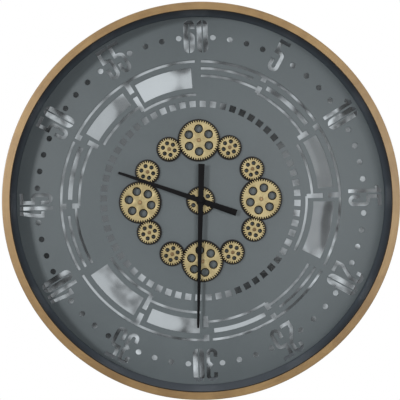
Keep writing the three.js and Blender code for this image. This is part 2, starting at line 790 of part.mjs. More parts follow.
// Bent steel hanger with a keyhole: its slot's upper end rests on the wall screw.
function makeHanger() {
  const side = hangerWidth / 2;
  const front = boardBack - gap;
  const profile = points(
    [-side - hangerFoot, -front], [-side - hangerFoot, hangerSheet - front],
    [-side, hangerSheet - front], [-side, -hangerBack], [side, -hangerBack],
    [side, hangerSheet - front], [side + hangerFoot, hangerSheet - front],
    [side + hangerFoot, -front], [side - hangerSheet, -front],
    [side - hangerSheet, -hangerBack - hangerSheet],
    [-side + hangerSheet, -hangerBack - hangerSheet], [-side + hangerSheet, -front]);
  const topEdge = hangHeight + hangerAbove;
  const strip = plate(profile.reverse(), 0, hangerHeight).rotateX(-Math.PI / 2);
  strip.translate(0, topEdge - hangerHeight, 0);
  const entry = new THREE.Vector2(0, hangHeight - keyTravel);
  const through = [
    plate(circle(keyEntryRadius, tubeSides, entry), 0, hangerBack + 2 * hangerSheet),
    plate(circle(keySlotRadius, tubeSides, new THREE.Vector2(0, hangHeight)), 0,
      hangerBack + 2 * hangerSheet),
    plate(rectangle(-keySlotRadius, keySlotRadius, entry.y, hangHeight), 0,
      hangerBack + 2 * hangerSheet),
  ];
  add("hanger_bracket", cut(strip, ...through), "steel");
}

makeCase();
makeDial();
makeTabs();
makeWheels();
makeTrain();
makeRearPlate();
makeMovement();
makeHands();
makeMotor();
makeBatteryBox();
makeHanger();

// Stand the clock up: the dial faces -Y, the wall is the plane y = 0, and the wall screw that
// the clock hangs on is the origin.
clock.rotation.x = Math.PI / 2;
clock.position.z = -hangHeight;
clock.updateMatrixWorld(true);

export default clock;
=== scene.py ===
import math
import bpy
import bmesh
import numpy as np
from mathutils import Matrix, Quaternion, Vector


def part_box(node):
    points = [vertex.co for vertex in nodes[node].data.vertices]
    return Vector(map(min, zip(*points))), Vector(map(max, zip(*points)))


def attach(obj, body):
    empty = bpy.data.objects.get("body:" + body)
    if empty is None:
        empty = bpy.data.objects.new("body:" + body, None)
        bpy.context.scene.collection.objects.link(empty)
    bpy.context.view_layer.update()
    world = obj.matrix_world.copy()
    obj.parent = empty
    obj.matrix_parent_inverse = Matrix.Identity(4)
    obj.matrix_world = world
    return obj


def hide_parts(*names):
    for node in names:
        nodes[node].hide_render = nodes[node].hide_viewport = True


print("clock: loading the frame")
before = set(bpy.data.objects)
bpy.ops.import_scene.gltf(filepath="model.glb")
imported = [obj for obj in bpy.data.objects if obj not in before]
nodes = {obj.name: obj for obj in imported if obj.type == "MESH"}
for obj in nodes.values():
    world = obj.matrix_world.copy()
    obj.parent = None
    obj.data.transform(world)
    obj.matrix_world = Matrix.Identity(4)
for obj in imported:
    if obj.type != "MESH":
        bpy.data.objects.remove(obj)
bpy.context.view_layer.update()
mm = 0.001
sharpAngle = math.radians(32)  # edges over this angle stay sharp
smallSteps, wideSteps = 32, 48  # faces round a small and a wider turned piece

# The clock's own axis, read from the frame: the middle of the round case
caseLow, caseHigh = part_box("outer_frame")
axisZ = (caseLow.z + caseHigh.z) / 2


# Where a CAD node lies: its middle across the dial, its radius, and its back and front above the wall.
def span(node):
    low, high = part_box(node)
    return {
        "x": (low.x + high.x) / 2,
        "y": (low.z + high.z) / 2 - axisZ,
        "radius": (high.x - low.x) / 2,
        "back": -high.y,
        "front": -low.y,
    }


# Dial plane to world: across stays x, up the dial becomes z, and height above the wall becomes -y.
def standUp(points):
    return np.stack([points[..., 0], -points[..., 2], points[..., 1] + axisZ], axis=-1)


# Points on a circle: radius times the cosine and sine of each angle, in degrees.
def polar(radius, degrees):
    angle = np.radians(degrees)
    return np.stack([radius * np.cos(angle), radius * np.sin(angle)], axis=-1)


# Quads between the neighbours of a rows by columns grid. Columns wrap to the first one, and rows do
# where they are closed.
def gridFaces(rows, columns, closeRows=True):
    i, j = np.meshgrid(np.arange(rows if closeRows else rows - 1), np.arange(columns), indexing="ij")
    nextI, nextJ = (i + 1) % rows, (j + 1) % columns
    corners = [i * columns + j, nextI * columns + j, nextI * columns + nextJ, i * columns + nextJ]
    return np.stack(corners, axis=-1).reshape(-1, 4)


# A new object for a mesh, a light or a camera, linked to the scene.
def placed(name, data):
    made = bpy.data.objects.new(name, data)
    bpy.context.scene.collection.objects.link(made)
    return made


# A mesh from points and quads, stood up in its place: doubles merged, faces turned outward, and
# smooth but for its sharp edges.
def makePiece(name, points, faces, finish, faceFinish=None):
    mesh = bpy.data.meshes.new(name)
    mesh.from_pydata(standUp(np.asarray(points, float)).reshape(-1, 3).tolist(), [], faces.tolist())
    for each in (finish if isinstance(finish, list) else [finish]):
        mesh.materials.append(each)
    if faceFinish is not None:
        mesh.polygons.foreach_set("material_index", np.asarray(faceFinish, np.int32))
    tidy = bmesh.new()
    tidy.from_mesh(mesh)
    bmesh.ops.remove_doubles(tidy, verts=tidy.verts, dist=1e-7)
    bmesh.ops.recalc_face_normals(tidy, faces=tidy.faces)
    tidy.to_mesh(mesh)
    tidy.free()
    mesh.shade_smooth()
    mesh.set_sharp_from_angle(angle=sharpAngle)
    return placed(name, mesh)


# Lets a finished piece stand for its CAD nodes and move with their body.
def standsFor(piece, body, slotName, *names):
    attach(piece, body)
    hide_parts(*names)


# Corners of a closed outline eased with a quadratic curve that leaves each corner at its reach. A
# further point on each side, at 1.6 times the reach or just short of the side's middle, keeps the
# flats between the curves flat.
def eased(corners, reach, steps):
    corner = np.asarray(corners, float)
    reach = np.broadcast_to(np.asarray(reach, float), (len(corner),))[:, None]
    before = np.roll(corner, 1, axis=0) - corner
    after = np.roll(corner, -1, axis=0) - corner
    longBefore = np.linalg.norm(before, axis=1, keepdims=True)
    longAfter = np.linalg.norm(after, axis=1, keepdims=True)
    start = corner + before / longBefore * reach
    end = corner + after / longAfter * reach
    t = np.linspace(0, 1, steps + 1)[None, :, None]
    curve = (1 - t) ** 2 * start[:, None] + 2 * t * (1 - t) * corner[:, None] + t ** 2 * end[:, None]
    first = corner + before / longBefore * np.minimum(reach * 1.6, longBefore * 0.48)
    last = corner + after / longAfter * np.minimum(reach * 1.6, longAfter * 0.48)
    return np.concatenate([first[:, None], curve, last[:, None]], axis=1).reshape(-1, 2)


# A turned form: each point of the profile (radius, height) carried round a circle about (x, y).
def turnedGrid(profile, steps, x=0.0, y=0.0):
    profile = np.asarray(profile, float)
    turn = polar(1.0, np.arange(steps) * 360 / steps)
    across = profile[None, :, 0, None] * turn[:, None, :] + np.array([x, y])
    height = np.broadcast_to(profile[None, :, 1, None], across.shape[:2] + (1,))
    return np.concatenate([across, height], axis=-1), gridFaces(steps, len(profile))


# Faces of a turned form without the column that would join its profile's two ends on the axis.
def openAxis(faces, count):
    return faces[np.arange(len(faces)) % count != count - 1]


# A turned piece whose profile closes on itself, as a ring's does.
def turnedRing(name, profile, finish, steps):
    points, faces = turnedGrid(profile, steps)
    return makePiece(name, points, faces, finish)


# A turned piece whose profile starts and ends on the axis, so the last face column is left out.
def turnedSolid(name, profile, finish, steps, x=0.0, y=0.0):
    points, faces = turnedGrid(profile, steps, x, y)
    return makePiece(name, points, openAxis(faces, len(profile)), finish)


# Puts the evaluated result of the modifiers in the mesh, and takes the modifiers off.
def applyAll(piece):
    graph = bpy.context.evaluated_depsgraph_get()
    mesh = bpy.data.meshes.new_from_object(piece.evaluated_get(graph))
    piece.modifiers.clear()
    old = piece.data
    piece.data = mesh
    bpy.data.meshes.remove(old)
    piece.data.set_sharp_from_angle(angle=sharpAngle)
    return piece


# Rounds the edges over an angle with a bevel of two steps, and applies it.
def softenEdges(piece, width, angle=30):
    bevel = piece.modifiers.new("edges", "BEVEL")
    bevel.width = width
    bevel.segments = 2
    bevel.limit_method = "ANGLE"
    bevel.angle_limit = math.radians(angle)
    return applyAll(piece)


# Joins other bodies to a piece or cuts them out of it, one boolean for each, and removes them.
def combine(piece, others, operation="DIFFERENCE"):
    for other in others:
        modifier = piece.modifiers.new(other.name, "BOOLEAN")
        modifier.operation = operation
        modifier.solver = "MANIFOLD"
        modifier.object = other
    applyAll(piece)
    for other in others:
        bpy.data.objects.remove(other)


# Heights and outward flares of a cutter: straight through, and wider at both faces by the easing,
# or by a rim of its own width.
def throughCut(back, front, easing, rim=None):
    past = 1.0 * mm
    rim = easing if rim is None else rim
    heights = np.array([back - past, back, back + easing, front - easing, front, front + past])
    flares = np.array([rim + past, rim, 0, 0, rim, rim + past])
    return heights, flares


# Prism between two matching lines: side points pushed outward by the flare at each height, end
# points pushed along the line as well, capped by quads from one line to the other.
def stripPrism(left, right, heights, flares):
    across = left - right
    across = across / np.maximum(np.linalg.norm(across, axis=1, keepdims=True), 1e-9)
    middle = (left + right) / 2
    along = np.zeros_like(middle)
    along[0] = middle[0] - middle[1]
    along[-1] = middle[-1] - middle[-2]
    along = along / np.maximum(np.linalg.norm(along, axis=1, keepdims=True), 1e-9)
    flare = flares[:, None, None]
    leftSide = left[None] + flare * (across + along)[None]
    rightSide = right[None] + flare * (along - across)[None]
    ring = np.concatenate([leftSide, rightSide[:, ::-1]], axis=1)
    height = np.broadcast_to(heights[:, None, None], ring.shape[:2] + (1,))
    points = np.concatenate([ring, height], axis=-1).reshape(-1, 3)
    count = len(left)
    around = 2 * count
    sides = gridFaces(len(heights), around, closeRows=False)
    k = np.arange(count - 1)
    low = np.stack([k, k + 1, around - 2 - k, around - 1 - k], axis=-1)
    high = low + (len(heights) - 1) * around
    return points, np.concatenate([sides, low, high])


# Round cutter: a turned form whose radius follows the same flare, closed on its axis.
def roundPrism(center, radius, heights, flares, steps=24):
    profile = np.stack([np.maximum(radius + flares, 0.1 * mm), heights], axis=-1)
    profile = np.concatenate([[[0, heights[0]]], profile, [[0, heights[-1]]]])
    points, faces = turnedGrid(profile, steps, *center)
    return points.reshape(-1, 3), openAxis(faces, len(profile))


# One cutter object from many prisms, their points and faces joined end to end.
def makeCutter(name, prisms, finish, faceFinish=None):
    offsets = np.cumsum([0] + [len(points) for points, _ in prisms[:-1]])
    points = np.concatenate([points for points, _ in prisms])
    faces = np.concatenate([faces + offset for (_, faces), offset in zip(prisms, offsets)])
    return makePiece(name, points, faces, finish, faceFinish)


print("clock: finishes")


# A colour written as a photo shows it, from 0 to 255, to the linear values that shaders take.
def tone(red, green, blue):
    value = np.array([red, green, blue]) / 255
    linear = np.where(value <= 0.04045, value / 12.92, ((value + 0.055) / 1.055) ** 2.4)
    return (*linear.tolist(), 1.0)


# A shader node with its settings, whose inputs are linked where given a socket and set otherwise.
def addNode(tree, kind, inputs=None, **settings):
    made = tree.nodes.new(kind)
    for key, value in settings.items():
        setattr(made, key, value)
    for key, value in (inputs or {}).items():
        if isinstance(value, bpy.types.NodeSocket):
            tree.links.new(value, made.inputs[key])
        else:
            made.inputs[key].default_value = value
    return made


# One sum on two numbers or sockets.
def addMath(tree, operation, first, second=0.0):
    return addNode(tree, "ShaderNodeMath", {0: first, 1: second}, operation=operation).outputs[0]


# One sum on two vectors; a length or a distance comes out as a number.
def addVector(tree, operation, first, second=(0, 0, 0)):
    made = addNode(tree, "ShaderNodeVectorMath", {0: first, 1: second}, operation=operation)
    return made.outputs["Value" if operation in ("LENGTH", "DISTANCE") else "Vector"]


# A number carried from the range start to end to the range low to high, evenly or smoothly.
def addRange(tree, value, start, end, low=0.0, high=1.0, smooth=False):
    inputs = {"Value": value, "From Min": start, "From Max": end, "To Min": low, "To Max": high}
    kind = "SMOOTHSTEP" if smooth else "LINEAR"
    return addNode(tree, "ShaderNodeMapRange", inputs, interpolation_type=kind).outputs[0]


# Noise read at a position.
def addNoise(tree, where, scale, detail, roughness=0.5, distortion=0.0):
    inputs = {"Vector": where, "Scale": scale, "Detail": detail, "Roughness": roughness,
              "Distortion": distortion}
    return addNode(tree, "ShaderNodeTexNoise", inputs).outputs[0]


# First number or colour turned into the second by a share.
def addMix(tree, share, first, second, kind="FLOAT"):
    made = addNode(tree, "ShaderNodeMix", {"Factor": share, "A": first, "B": second}, data_type=kind)
    return made.outputs["Result"]


# An empty node group with a position input, number inputs with their defaults, and one mask output.
def newGroup(name, numbers):
    group = bpy.data.node_groups.new(name, "ShaderNodeTree")
    group.interface.new_socket(name="Position", in_out="INPUT", socket_type="NodeSocketVector")
    for key, value in numbers.items():
        socket = group.interface.new_socket(name=key, in_out="INPUT", socket_type="NodeSocketFloat")
        socket.default_value = value
    group.interface.new_socket(name="Mask", in_out="OUTPUT", socket_type="NodeSocketFloat")
    inside, outside = group.nodes.new("NodeGroupInput"), group.nodes.new("NodeGroupOutput")
    return group, inside.outputs, outside.inputs["Mask"]


# Fine brushing round the clock's axis: noise read at (cosine, sine) times the streak and at
# (radius plus depth) times the lines, so it is long round the ring and short across it.
def makeRoundBrush():
    group, given, mask = newGroup("roundBrush", {"Lines": 1500.0, "Streak": 6.0})
    split = addNode(group, "ShaderNodeSeparateXYZ", {"Vector": given["Position"]}).outputs
    flat = addNode(group, "ShaderNodeCombineXYZ", {"X": split["X"], "Y": split["Z"]}).outputs[0]
    streak = addNode(group, "ShaderNodeVectorMath",
                     {0: addVector(group, "NORMALIZE", flat), "Scale": given["Streak"]},
                     operation="SCALE").outputs[0]
    reach = addMath(group, "ADD", addVector(group, "LENGTH", flat), split["Y"])
    fine = addMath(group, "MULTIPLY", reach, given["Lines"])
    line = addNode(group, "ShaderNodeCombineXYZ", {"Z": fine}).outputs[0]
    noise = addNoise(group, addVector(group, "ADD", streak, line), 1.0, 3.0, 0.6)
    group.links.new(noise, mask)
    return group


# Straight brushing or wood fibre: noise read at a position stretched far more along X than across.
def makeFibre():
    group, given, mask = newGroup("fibre", {"Fine": 900.0, "Long": 25.0})
    stretch = addNode(group, "ShaderNodeCombineXYZ",
                      {"X": given["Long"], "Y": given["Fine"], "Z": given["Fine"]}).outputs[0]
    where = addVector(group, "MULTIPLY", given["Position"], stretch)
    group.links.new(addNoise(group, where, 1.0, 4.0, 0.65), mask)
    return group


# Fine grain of paint or moulded plastic: noise at the grain's own size.
def makeGrain():
    group, given, mask = newGroup("grain", {"Size": 900.0})
    group.links.new(addNoise(group, given["Position"], given["Size"], 3.0, 0.55), mask)
    return group


# Soft patches of wear and handling: wide noise with its middle stretched to full contrast.
def makePatches():
    group, given, mask = newGroup("patches", {"Size": 9.0, "Contrast": 0.25})
    noise = addNoise(group, given["Position"], given["Size"], 5.0, 0.62, 0.4)
    low = addMath(group, "SUBTRACT", 0.5, given["Contrast"])
    high = addMath(group, "ADD", 0.5, given["Contrast"])
    group.links.new(addRange(group, noise, low, high, smooth=True), mask)
    return group


groups = {"roundBrush": makeRoundBrush(), "fibre": makeFibre(), "grain": makeGrain(),
          "patches": makePatches()}


# Places a shared group in a material with this finish's own numbers.
def useGroup(tree, name, position, **numbers):
    inputs = {"Position": position, **{key.capitalize(): value for key, value in numbers.items()}}
    return addNode(tree, "ShaderNodeGroup", inputs, node_tree=groups[name]).outputs["Mask"]


# Share that rises smoothly from 0 to 1 between two values of one coordinate of the position.
def rise(tree, position, axis, start, end):
    split = addNode(tree, "ShaderNodeSeparateXYZ", {"Vector": position})
    return addRange(tree, split.outputs[axis], start, end, smooth=True)


# Share of painted shadow in rings about the wheels: 1 near each ring's own radius, falling smoothly
# to 0 past its half width, and the largest of all the rings' shares is taken.
def paintedWheelShadows(tree, position, rings, solid, soft):
    flat = addVector(tree, "MULTIPLY", position, (1, 0, 1))
    largest = 0.0
    for x, y, radius in rings:
        far = addVector(tree, "DISTANCE", flat, (x, 0, y))
        off = addMath(tree, "ABSOLUTE", addMath(tree, "SUBTRACT", far, radius))
        largest = addMath(tree, "MAXIMUM", addRange(tree, off, soft, solid, smooth=True), largest)
    return largest


# What a finish has unless it says otherwise
plainLook = {
    "metal": 0.0, "gloss": 0.5, "coat": 0.0, "coatRough": 0.2, "texture": "grain",
    "patchEdge": 0.3, "patchShare": 0.5, "bump": 0.2, "bumpHeight": 0.0001,
}


# A finish: colour runs from its dark to its light tone by a blend of patches and surface texture,
# roughness runs between two values by the same blend, and the texture's height makes the bump.
def makeFinish(name, look):
    look = {**plainLook, **look}
    material = bpy.data.materials.new(name)
    material.use_nodes = True
    tree = material.node_tree
    place = addNode(tree, "ShaderNodeTexCoord").outputs["Object"]
    centred = addNode(tree, "ShaderNodeMapping", {"Vector": place, "Location": (0, 0, -axisZ)})
    position = centred.outputs[0]
    texture = useGroup(tree, look["texture"], position, **look["textureSize"])
    patches = useGroup(tree, "patches", position, size=look["patchSize"], contrast=look["patchEdge"])
    blend = addMix(tree, look["patchShare"], texture, patches)
    paint = addMix(tree, blend, look["dark"], look["light"], "RGBA")
    if "shade" in look:  # painted shade: darker towards the front of the case, where the bezel shades the wall
        back, front = look["shadeHeights"]
        paint = addMix(tree, rise(tree, position, "Y", -back, -front), paint, look["shade"], "RGBA")
    if "litLow" in look:  # painted light: paler low in the case, where light from above falls on the wall
        high, low = look["litLowHeights"]
        paint = addMix(tree, rise(tree, position, "Z", high, low), paint, look["litLow"], "RGBA")
    if "wheelShadow" in look:  # painted shadow: dark rings on the dial round the wheels
        shadowShare = paintedWheelShadows(tree, position, wheelShadowCircles, *look["wheelShadowWidths"])
        paint = addMix(tree, shadowShare, paint, look["wheelShadow"], "RGBA")
    rough = addRange(tree, blend, 0.2, 0.8, *look["rough"])
    bump = addNode(tree, "ShaderNodeBump",
                   {"Strength": look["bump"], "Distance": look["bumpHeight"], "Height": texture})
    shader = tree.nodes["Principled BSDF"]
    tree.links.new(paint, shader.inputs["Base Color"])
    tree.links.new(rough, shader.inputs["Roughness"])
    tree.links.new(bump.outputs[0], shader.inputs["Normal"])
    shader.inputs["Metallic"].default_value = look["metal"]
    shader.inputs["Specular IOR Level"].default_value = look["gloss"]
    shader.inputs["Coat Weight"].default_value = look["coat"]
    shader.inputs["Coat Roughness"].default_value = look["coatRough"]
    return material


# Middle and radius of the ring of painted shadow on the dial behind each wheel's rim
wheelNodes = ["center_wheel"] + [f"{'small' if hour % 3 else 'big'}_wheel_{hour}" for hour in range(1, 13)]
wheelShadowCircles = [(span(node)["x"], span(node)["y"], span(node)["radius"] - 1.0 * mm) for node in wheelNodes]

looks = {
    "bronze": {
        "dark": tone(108, 77, 36), "light": tone(170, 138, 86), "rough": (0.42, 0.54), "metal": 0.4,
        "coat": 0.8, "coatRough": 0.3, "texture": "roundBrush",
        "textureSize": {"lines": 900.0, "streak": 9.0}, "patchSize": 16.0, "patchEdge": 0.22,
        "patchShare": 0.4, "bump": 0.8, "bumpHeight": 0.0004,
    },
    # dark metal of the bezel's lip, and painted shade along its inner edge
    "bezelLipShade": {
        "dark": tone(28, 22, 16), "light": tone(48, 39, 28), "rough": (0.55, 0.7), "gloss": 0.2,
        "texture": "roundBrush", "textureSize": {"lines": 900.0, "streak": 9.0},
        "patchSize": 16.0, "patchEdge": 0.25, "patchShare": 0.4, "bump": 0.3, "bumpHeight": 0.0002,
    },
    "liner": {
        "dark": tone(70, 78, 87), "light": tone(82, 90, 98), "rough": (0.55, 0.68), "gloss": 0.3,
        # painted shade on the wall towards the front of the case
        "shade": tone(48, 51, 58), "shadeHeights": (0.040, 0.075),
        # painted light on the wall low in the case, lit from above
        "litLow": tone(98, 104, 112), "litLowHeights": (-0.2, -0.283),
        "textureSize": {"size": 700.0}, "patchSize": 8.0, "patchShare": 0.4, "bump": 0.25,
        "bumpHeight": 0.0002,
    },
    "dialPaint": {
        "dark": tone(86, 94, 97), "light": tone(101, 110, 113), "rough": (0.4, 0.5), "gloss": 0.45,
        # painted shadow in rings on the dial round the wheels
        "wheelShadow": tone(18, 16, 16), "wheelShadowWidths": (1.6 * mm, 2.7 * mm),
        "textureSize": {"size": 650.0}, "patchSize": 5.0, "patchEdge": 0.28, "bumpHeight": 0.00015,
    },
    "silvering": {
        "dark": tone(206, 210, 212), "light": tone(222, 225, 226), "rough": (0.03, 0.06), "metal": 1.0,
        "texture": "patches", "textureSize": {"size": 4.0, "contrast": 0.4},
        "patchSize": 11.0, "patchEdge": 0.35, "bump": 0.05, "bumpHeight": 0.001,
    },
    "hardboard": {
        "dark": tone(92, 72, 52), "light": tone(128, 104, 78), "rough": (0.75, 0.9),
        "textureSize": {"size": 420.0}, "patchSize": 12.0, "patchShare": 0.35, "bump": 0.5,
        "bumpHeight": 0.0004,
    },
    "gold": {
        "dark": tone(138, 120, 76), "light": tone(203, 187, 140), "rough": (0.4, 0.52), "metal": 0.3,
        "textureSize": {"size": 520.0}, "patchSize": 26.0, "patchEdge": 0.28, "patchShare": 0.55,
        "bump": 0.25, "bumpHeight": 0.0002,
    },
    "shaftEnd": {
        "dark": tone(128, 98, 58), "light": tone(170, 140, 92), "rough": (0.35, 0.5), "metal": 0.4,
        "textureSize": {"size": 900.0}, "patchSize": 60.0, "patchEdge": 0.28,
    },
    "studHead": {
        "dark": tone(90, 70, 42), "light": tone(134, 108, 70), "rough": (0.45, 0.6), "metal": 0.3,
        "textureSize": {"size": 900.0}, "patchSize": 60.0, "patchEdge": 0.28,
    },
    # dark sides of the wheels, and painted shade on the rims of their faces and round their holes
    "goldEdge": {
        "dark": tone(12, 8, 4), "light": tone(32, 23, 12), "rough": (0.7, 0.85), "gloss": 0.15,
        "textureSize": {"size": 800.0}, "patchSize": 40.0, "bump": 0.3, "bumpHeight": 0.0002,
    },
    "handBlack": {
        "dark": tone(8, 7, 9), "light": tone(17, 16, 18), "rough": (0.5, 0.65), "gloss": 0.1,
        "textureSize": {"size": 900.0}, "patchSize": 20.0, "patchShare": 0.4,
    },
    "zinc": {
        "dark": tone(128, 130, 130), "light": tone(178, 180, 180), "rough": (0.34, 0.5), "metal": 0.85,
        "texture": "fibre", "textureSize": {"fine": 1400.0, "long": 40.0},
        "patchSize": 30.0, "patchEdge": 0.25,
    },
    "blackPlastic": {
        "dark": tone(26, 27, 29), "light": tone(42, 43, 46), "rough": (0.5, 0.64),
        "textureSize": {"size": 1500.0}, "patchSize": 25.0, "patchShare": 0.3, "bump": 0.3,
    },
    "whitePlastic": {
        "dark": tone(206, 203, 194), "light": tone(224, 222, 214), "rough": (0.38, 0.5),
        "textureSize": {"size": 1200.0}, "patchSize": 20.0, "patchEdge": 0.35, "bump": 0.15,
    },
    "greyPlastic": {
        "dark": tone(100, 103, 106), "light": tone(124, 127, 130), "rough": (0.42, 0.55),
        "textureSize": {"size": 1400.0}, "patchSize": 40.0, "patchShare": 0.4,
    },
    "cellSleeve": {
        "dark": tone(34, 96, 66), "light": tone(54, 124, 86), "rough": (0.22, 0.34), "metal": 0.1,
        "coat": 0.4, "textureSize": {"size": 300.0}, "patchSize": 30.0, "bump": 0.05,
    },
}
finishes = {name: makeFinish(name, look) for name, look in looks.items()}

print("clock: case")

caseForm = {
    "sheet": 1.5 * mm, "bezel": 12.8 * mm, "easing": 1.1 * mm, "fine": 0.35 * mm, "lip": 0.7 * mm,
    "darkLip": 1.3 * mm, "steps": 288,
}


# The drum: a C-shaped section of sheet, its outer corners eased, carried round the axis. The bezel's
# inner edge is dark as far out as a point on its flat, where the finish changes: partly dark metal
# of the lip, partly painted shade where the bezel meets the case wall.
def makeCase():
    whole = span("outer_frame")
    outer, inner = whole["radius"], whole["radius"] - caseForm["bezel"]
    back, front, sheet = whole["back"], whole["front"], caseForm["sheet"]
    corners = [
        [inner, back], [outer, back], [outer, front], [inner + caseForm["darkLip"], front],
        [inner, front], [inner, front - sheet], [outer - sheet, front - sheet],
        [outer - sheet, back + sheet], [inner, back + sheet],
    ]
    easing, lip, fine = caseForm["easing"], caseForm["lip"], caseForm["fine"]
    reach = np.array([fine, easing, easing, 0.05 * mm, lip, lip, fine, fine, fine])
    profile = eased(corners, reach, steps=5)
    points, faces = turnedGrid(profile, caseForm["steps"])
    middle = profile[np.arange(len(faces)) % len(profile)]
    dark = (middle[:, 0] <= inner + caseForm["darkLip"]) & (middle[:, 1] > front - 2 * sheet)
    piece = makePiece("caseDrum", points, faces, [finishes["bronze"], finishes["bezelLipShade"]], dark)
    standsFor(piece, "case", "bronze", "outer_frame")


ringForm = {
    "easing": 0.3 * mm,
    "linerInner": span("inner_wall")["radius"] - 1.2 * mm,
    "innerHole": 140 * mm,
}


# Section of a flat ring or tube: a rectangle from its inner to its outer radius and from its back
# to its front, its corners eased.
def ringSection(node, inner, easing):
    whole = span(node)
    outer, back, front = whole["radius"], whole["back"], whole["front"]
    return eased([[inner, back], [outer, back], [outer, front], [inner, front]], easing, 2)


# A ring that stands for its node: its section carried round the axis.
def makeRing(name, node, inner, finish, slotName):
    section = ringSection(node, inner, ringForm["easing"])
    piece = turnedRing(name, section, finishes[finish], caseForm["steps"])
    standsFor(piece, "case", slotName, node)


makeCase()
makeRing("caseLiner", "inner_wall", ringForm["linerInner"], "liner", "dark_paint")
makeRing("mirrorRing", "mirror_ring", ringForm["innerHole"], "silvering", "mirror")
makeRing("backBoard", "back_board", ringForm["innerHole"], "hardboard", "board")

print("clock: dial")

dialForm = {
    "numeralFoot": 231 * mm, "numeralHeight": 51.5 * mm, "digitWidth": 17.6 * mm,
    "digitStroke": 5.8 * mm, "digitBridge": 2 * mm, "digitSpace": 3.1 * mm, "flagReach": 4.93 * mm,
    "dotCircle": 255.7 * mm, "dotRadius": 4.5 * mm,
    "dashInner": 146.4 * mm, "dashOuter": 156.7 * mm, "dashAngle": 3.7,
    "centerHole": 9.0 * mm, "arborHole": 4.7 * mm, "easing": 0.25 * mm,
}
bandForm = {
    "line": 4.2 * mm, "outer": 217.9 * mm, "middle": 207 * mm, "inner": 195.3 * mm,
    "ledge": 189.6 * mm, "step": 174.6 * mm, "foot": 165.9 * mm, "windowTop": 207.7 * mm,
    "bandFoot": 200.4 * mm, "shortFoot": 184.3 * mm, "tallFoot": 176.2 * mm, "bar": 1.15,
    "firstBar": 29.3, "secondBar": 59.2, "thirdBar": 89.2, "end": 119.3, "lineStart": 1.8,
    "lineStop": 2.5, "shortLineEnd": 25, "windowStart": 2.8, "windowStop": 3.5, "lap": 2 * mm,
    "reach": 6 * mm,
}
width, height, stroke = dialForm["digitWidth"], dialForm["numeralHeight"], dialForm["digitStroke"]
halfLine = width / 2 - stroke / 2
topLine, footLine = height - stroke / 2, stroke / 2


# Points of a round bend about a centre, from one angle to another.
def bend(x, y, radius, start, end, steps=20):
    return polar(radius, np.linspace(start, end, steps + 1)) + np.array([x, y])


# Two lines at half the width on each side of a line of points, their corners mitred.
def ribbon(parts, width):
    line = np.concatenate([np.atleast_2d(part) for part in parts])
    step = np.diff(line, axis=0)
    step = step / np.linalg.norm(step, axis=1, keepdims=True)
    before = np.concatenate([step[:1], step])
    after = np.concatenate([step, step[-1:]])
    along = before + after
    along = along / np.linalg.norm(along, axis=1, keepdims=True)
    stretch = np.sum(along * after, axis=1, keepdims=True)
    side = np.stack([-along[:, 1], along[:, 0]], axis=-1) * width / (2 * stretch)
    return line + side, line - side


# One side of a split oval: straight along the bridge, and along the outside a round end where
# asked, the half width being the square root of what the end's circle leaves at each height.
def ovalSide(side, low, high, roundLow=True, roundHigh=True):
    radius, edge = width / 2, dialForm["digitBridge"] / 2
    t = np.linspace(0, np.pi, 61)
    y = low + (high - low) * (1 - np.cos(t)) / 2
    fall = np.zeros_like(y)
    fall = np.maximum(fall, (low + radius - y) if roundLow else 0)
    fall = np.maximum(fall, (y - (high - radius)) if roundHigh else 0)
    x = np.sqrt(np.maximum(radius ** 2 - fall ** 2, 0))
    x = np.maximum(x, edge + 0.2 * mm)
    inside = np.stack([np.full_like(y, edge), y], axis=-1)
    outside = np.stack([x, y], axis=-1)
    if side > 0:
        return inside, outside
    flip = np.array([-1, 1])
    return outside * flip, inside * flip


# Strokes of each digit, standing on y = 0 about its own middle, as (left line, right line, layer):
# strokes that cross each other are cut in different layers.
def digitStrokes(digit):
    if digit == "0":
        return [(*ovalSide(-1, 0, height), 0), (*ovalSide(1, 0, height), 0)]
    if digit == "1":
        flag = [-stroke / 2 - dialForm["flagReach"], height - stroke * 1.45]
        return [(*ribbon([[0, 0], [0, height]], stroke), 0),
                (*ribbon([flag, [-stroke * 0.1, height - stroke * 0.55]], stroke * 0.9), 1)]
    if digit == "2":
        line = [[-halfLine, height - stroke * 2.4], bend(0, topLine - halfLine, halfLine, 180, 0),
                [halfLine, height * 0.62], [-halfLine, height * 0.24], [-halfLine, footLine],
                [halfLine + stroke / 2, footLine]]
        return [(*ribbon(line, stroke), 0)]
    if digit == "3":
        notch = stroke * 0.75
        line = [[-halfLine, height - stroke * 2.4], bend(0, topLine - halfLine, halfLine, 180, 0),
                [halfLine, height / 2 + notch], [halfLine - notch, height / 2],
                [halfLine, height / 2 - notch], bend(0, footLine + halfLine, halfLine, 0, -180),
                [-halfLine, stroke * 2.4]]
        return [(*ribbon(line, stroke), 0)]
    if digit == "4":
        barLeft = width / 2 - stroke
        slope = [[barLeft - dialForm["digitBridge"] - stroke / 2, height], [-halfLine, height * 0.48],
                 [-halfLine, height * 0.31], [barLeft - dialForm["digitBridge"], height * 0.31]]
        post = [[barLeft + stroke / 2, 0], [barLeft + stroke / 2, height]]
        return [(*ribbon(post, stroke), 0), (*ribbon(slope, stroke), 0)]
    if digit == "5":
        bowl = height * 0.6
        line = [[halfLine + stroke / 2, topLine], [-halfLine, topLine], [-halfLine, bowl],
                bend(0, bowl - halfLine, halfLine, 90, 0, 12),
                bend(0, footLine + halfLine, halfLine, 0, -180), [-halfLine, height * 0.36]]
        return [(*ribbon(line, stroke), 0)]
    hook = [[0, height - stroke * 0.62], [dialForm["digitBridge"] * 2, height - stroke * 0.62]]
    return [(*ovalSide(-1, 0, height), 0), (*ovalSide(1, 0, height * 0.64), 0),
            (*ovalSide(1, height - stroke * 2.4, height, False, True), 0),
            (*ribbon([[-2 * mm, hook[0][1]], hook[1]], stroke * 1.1), 1)]


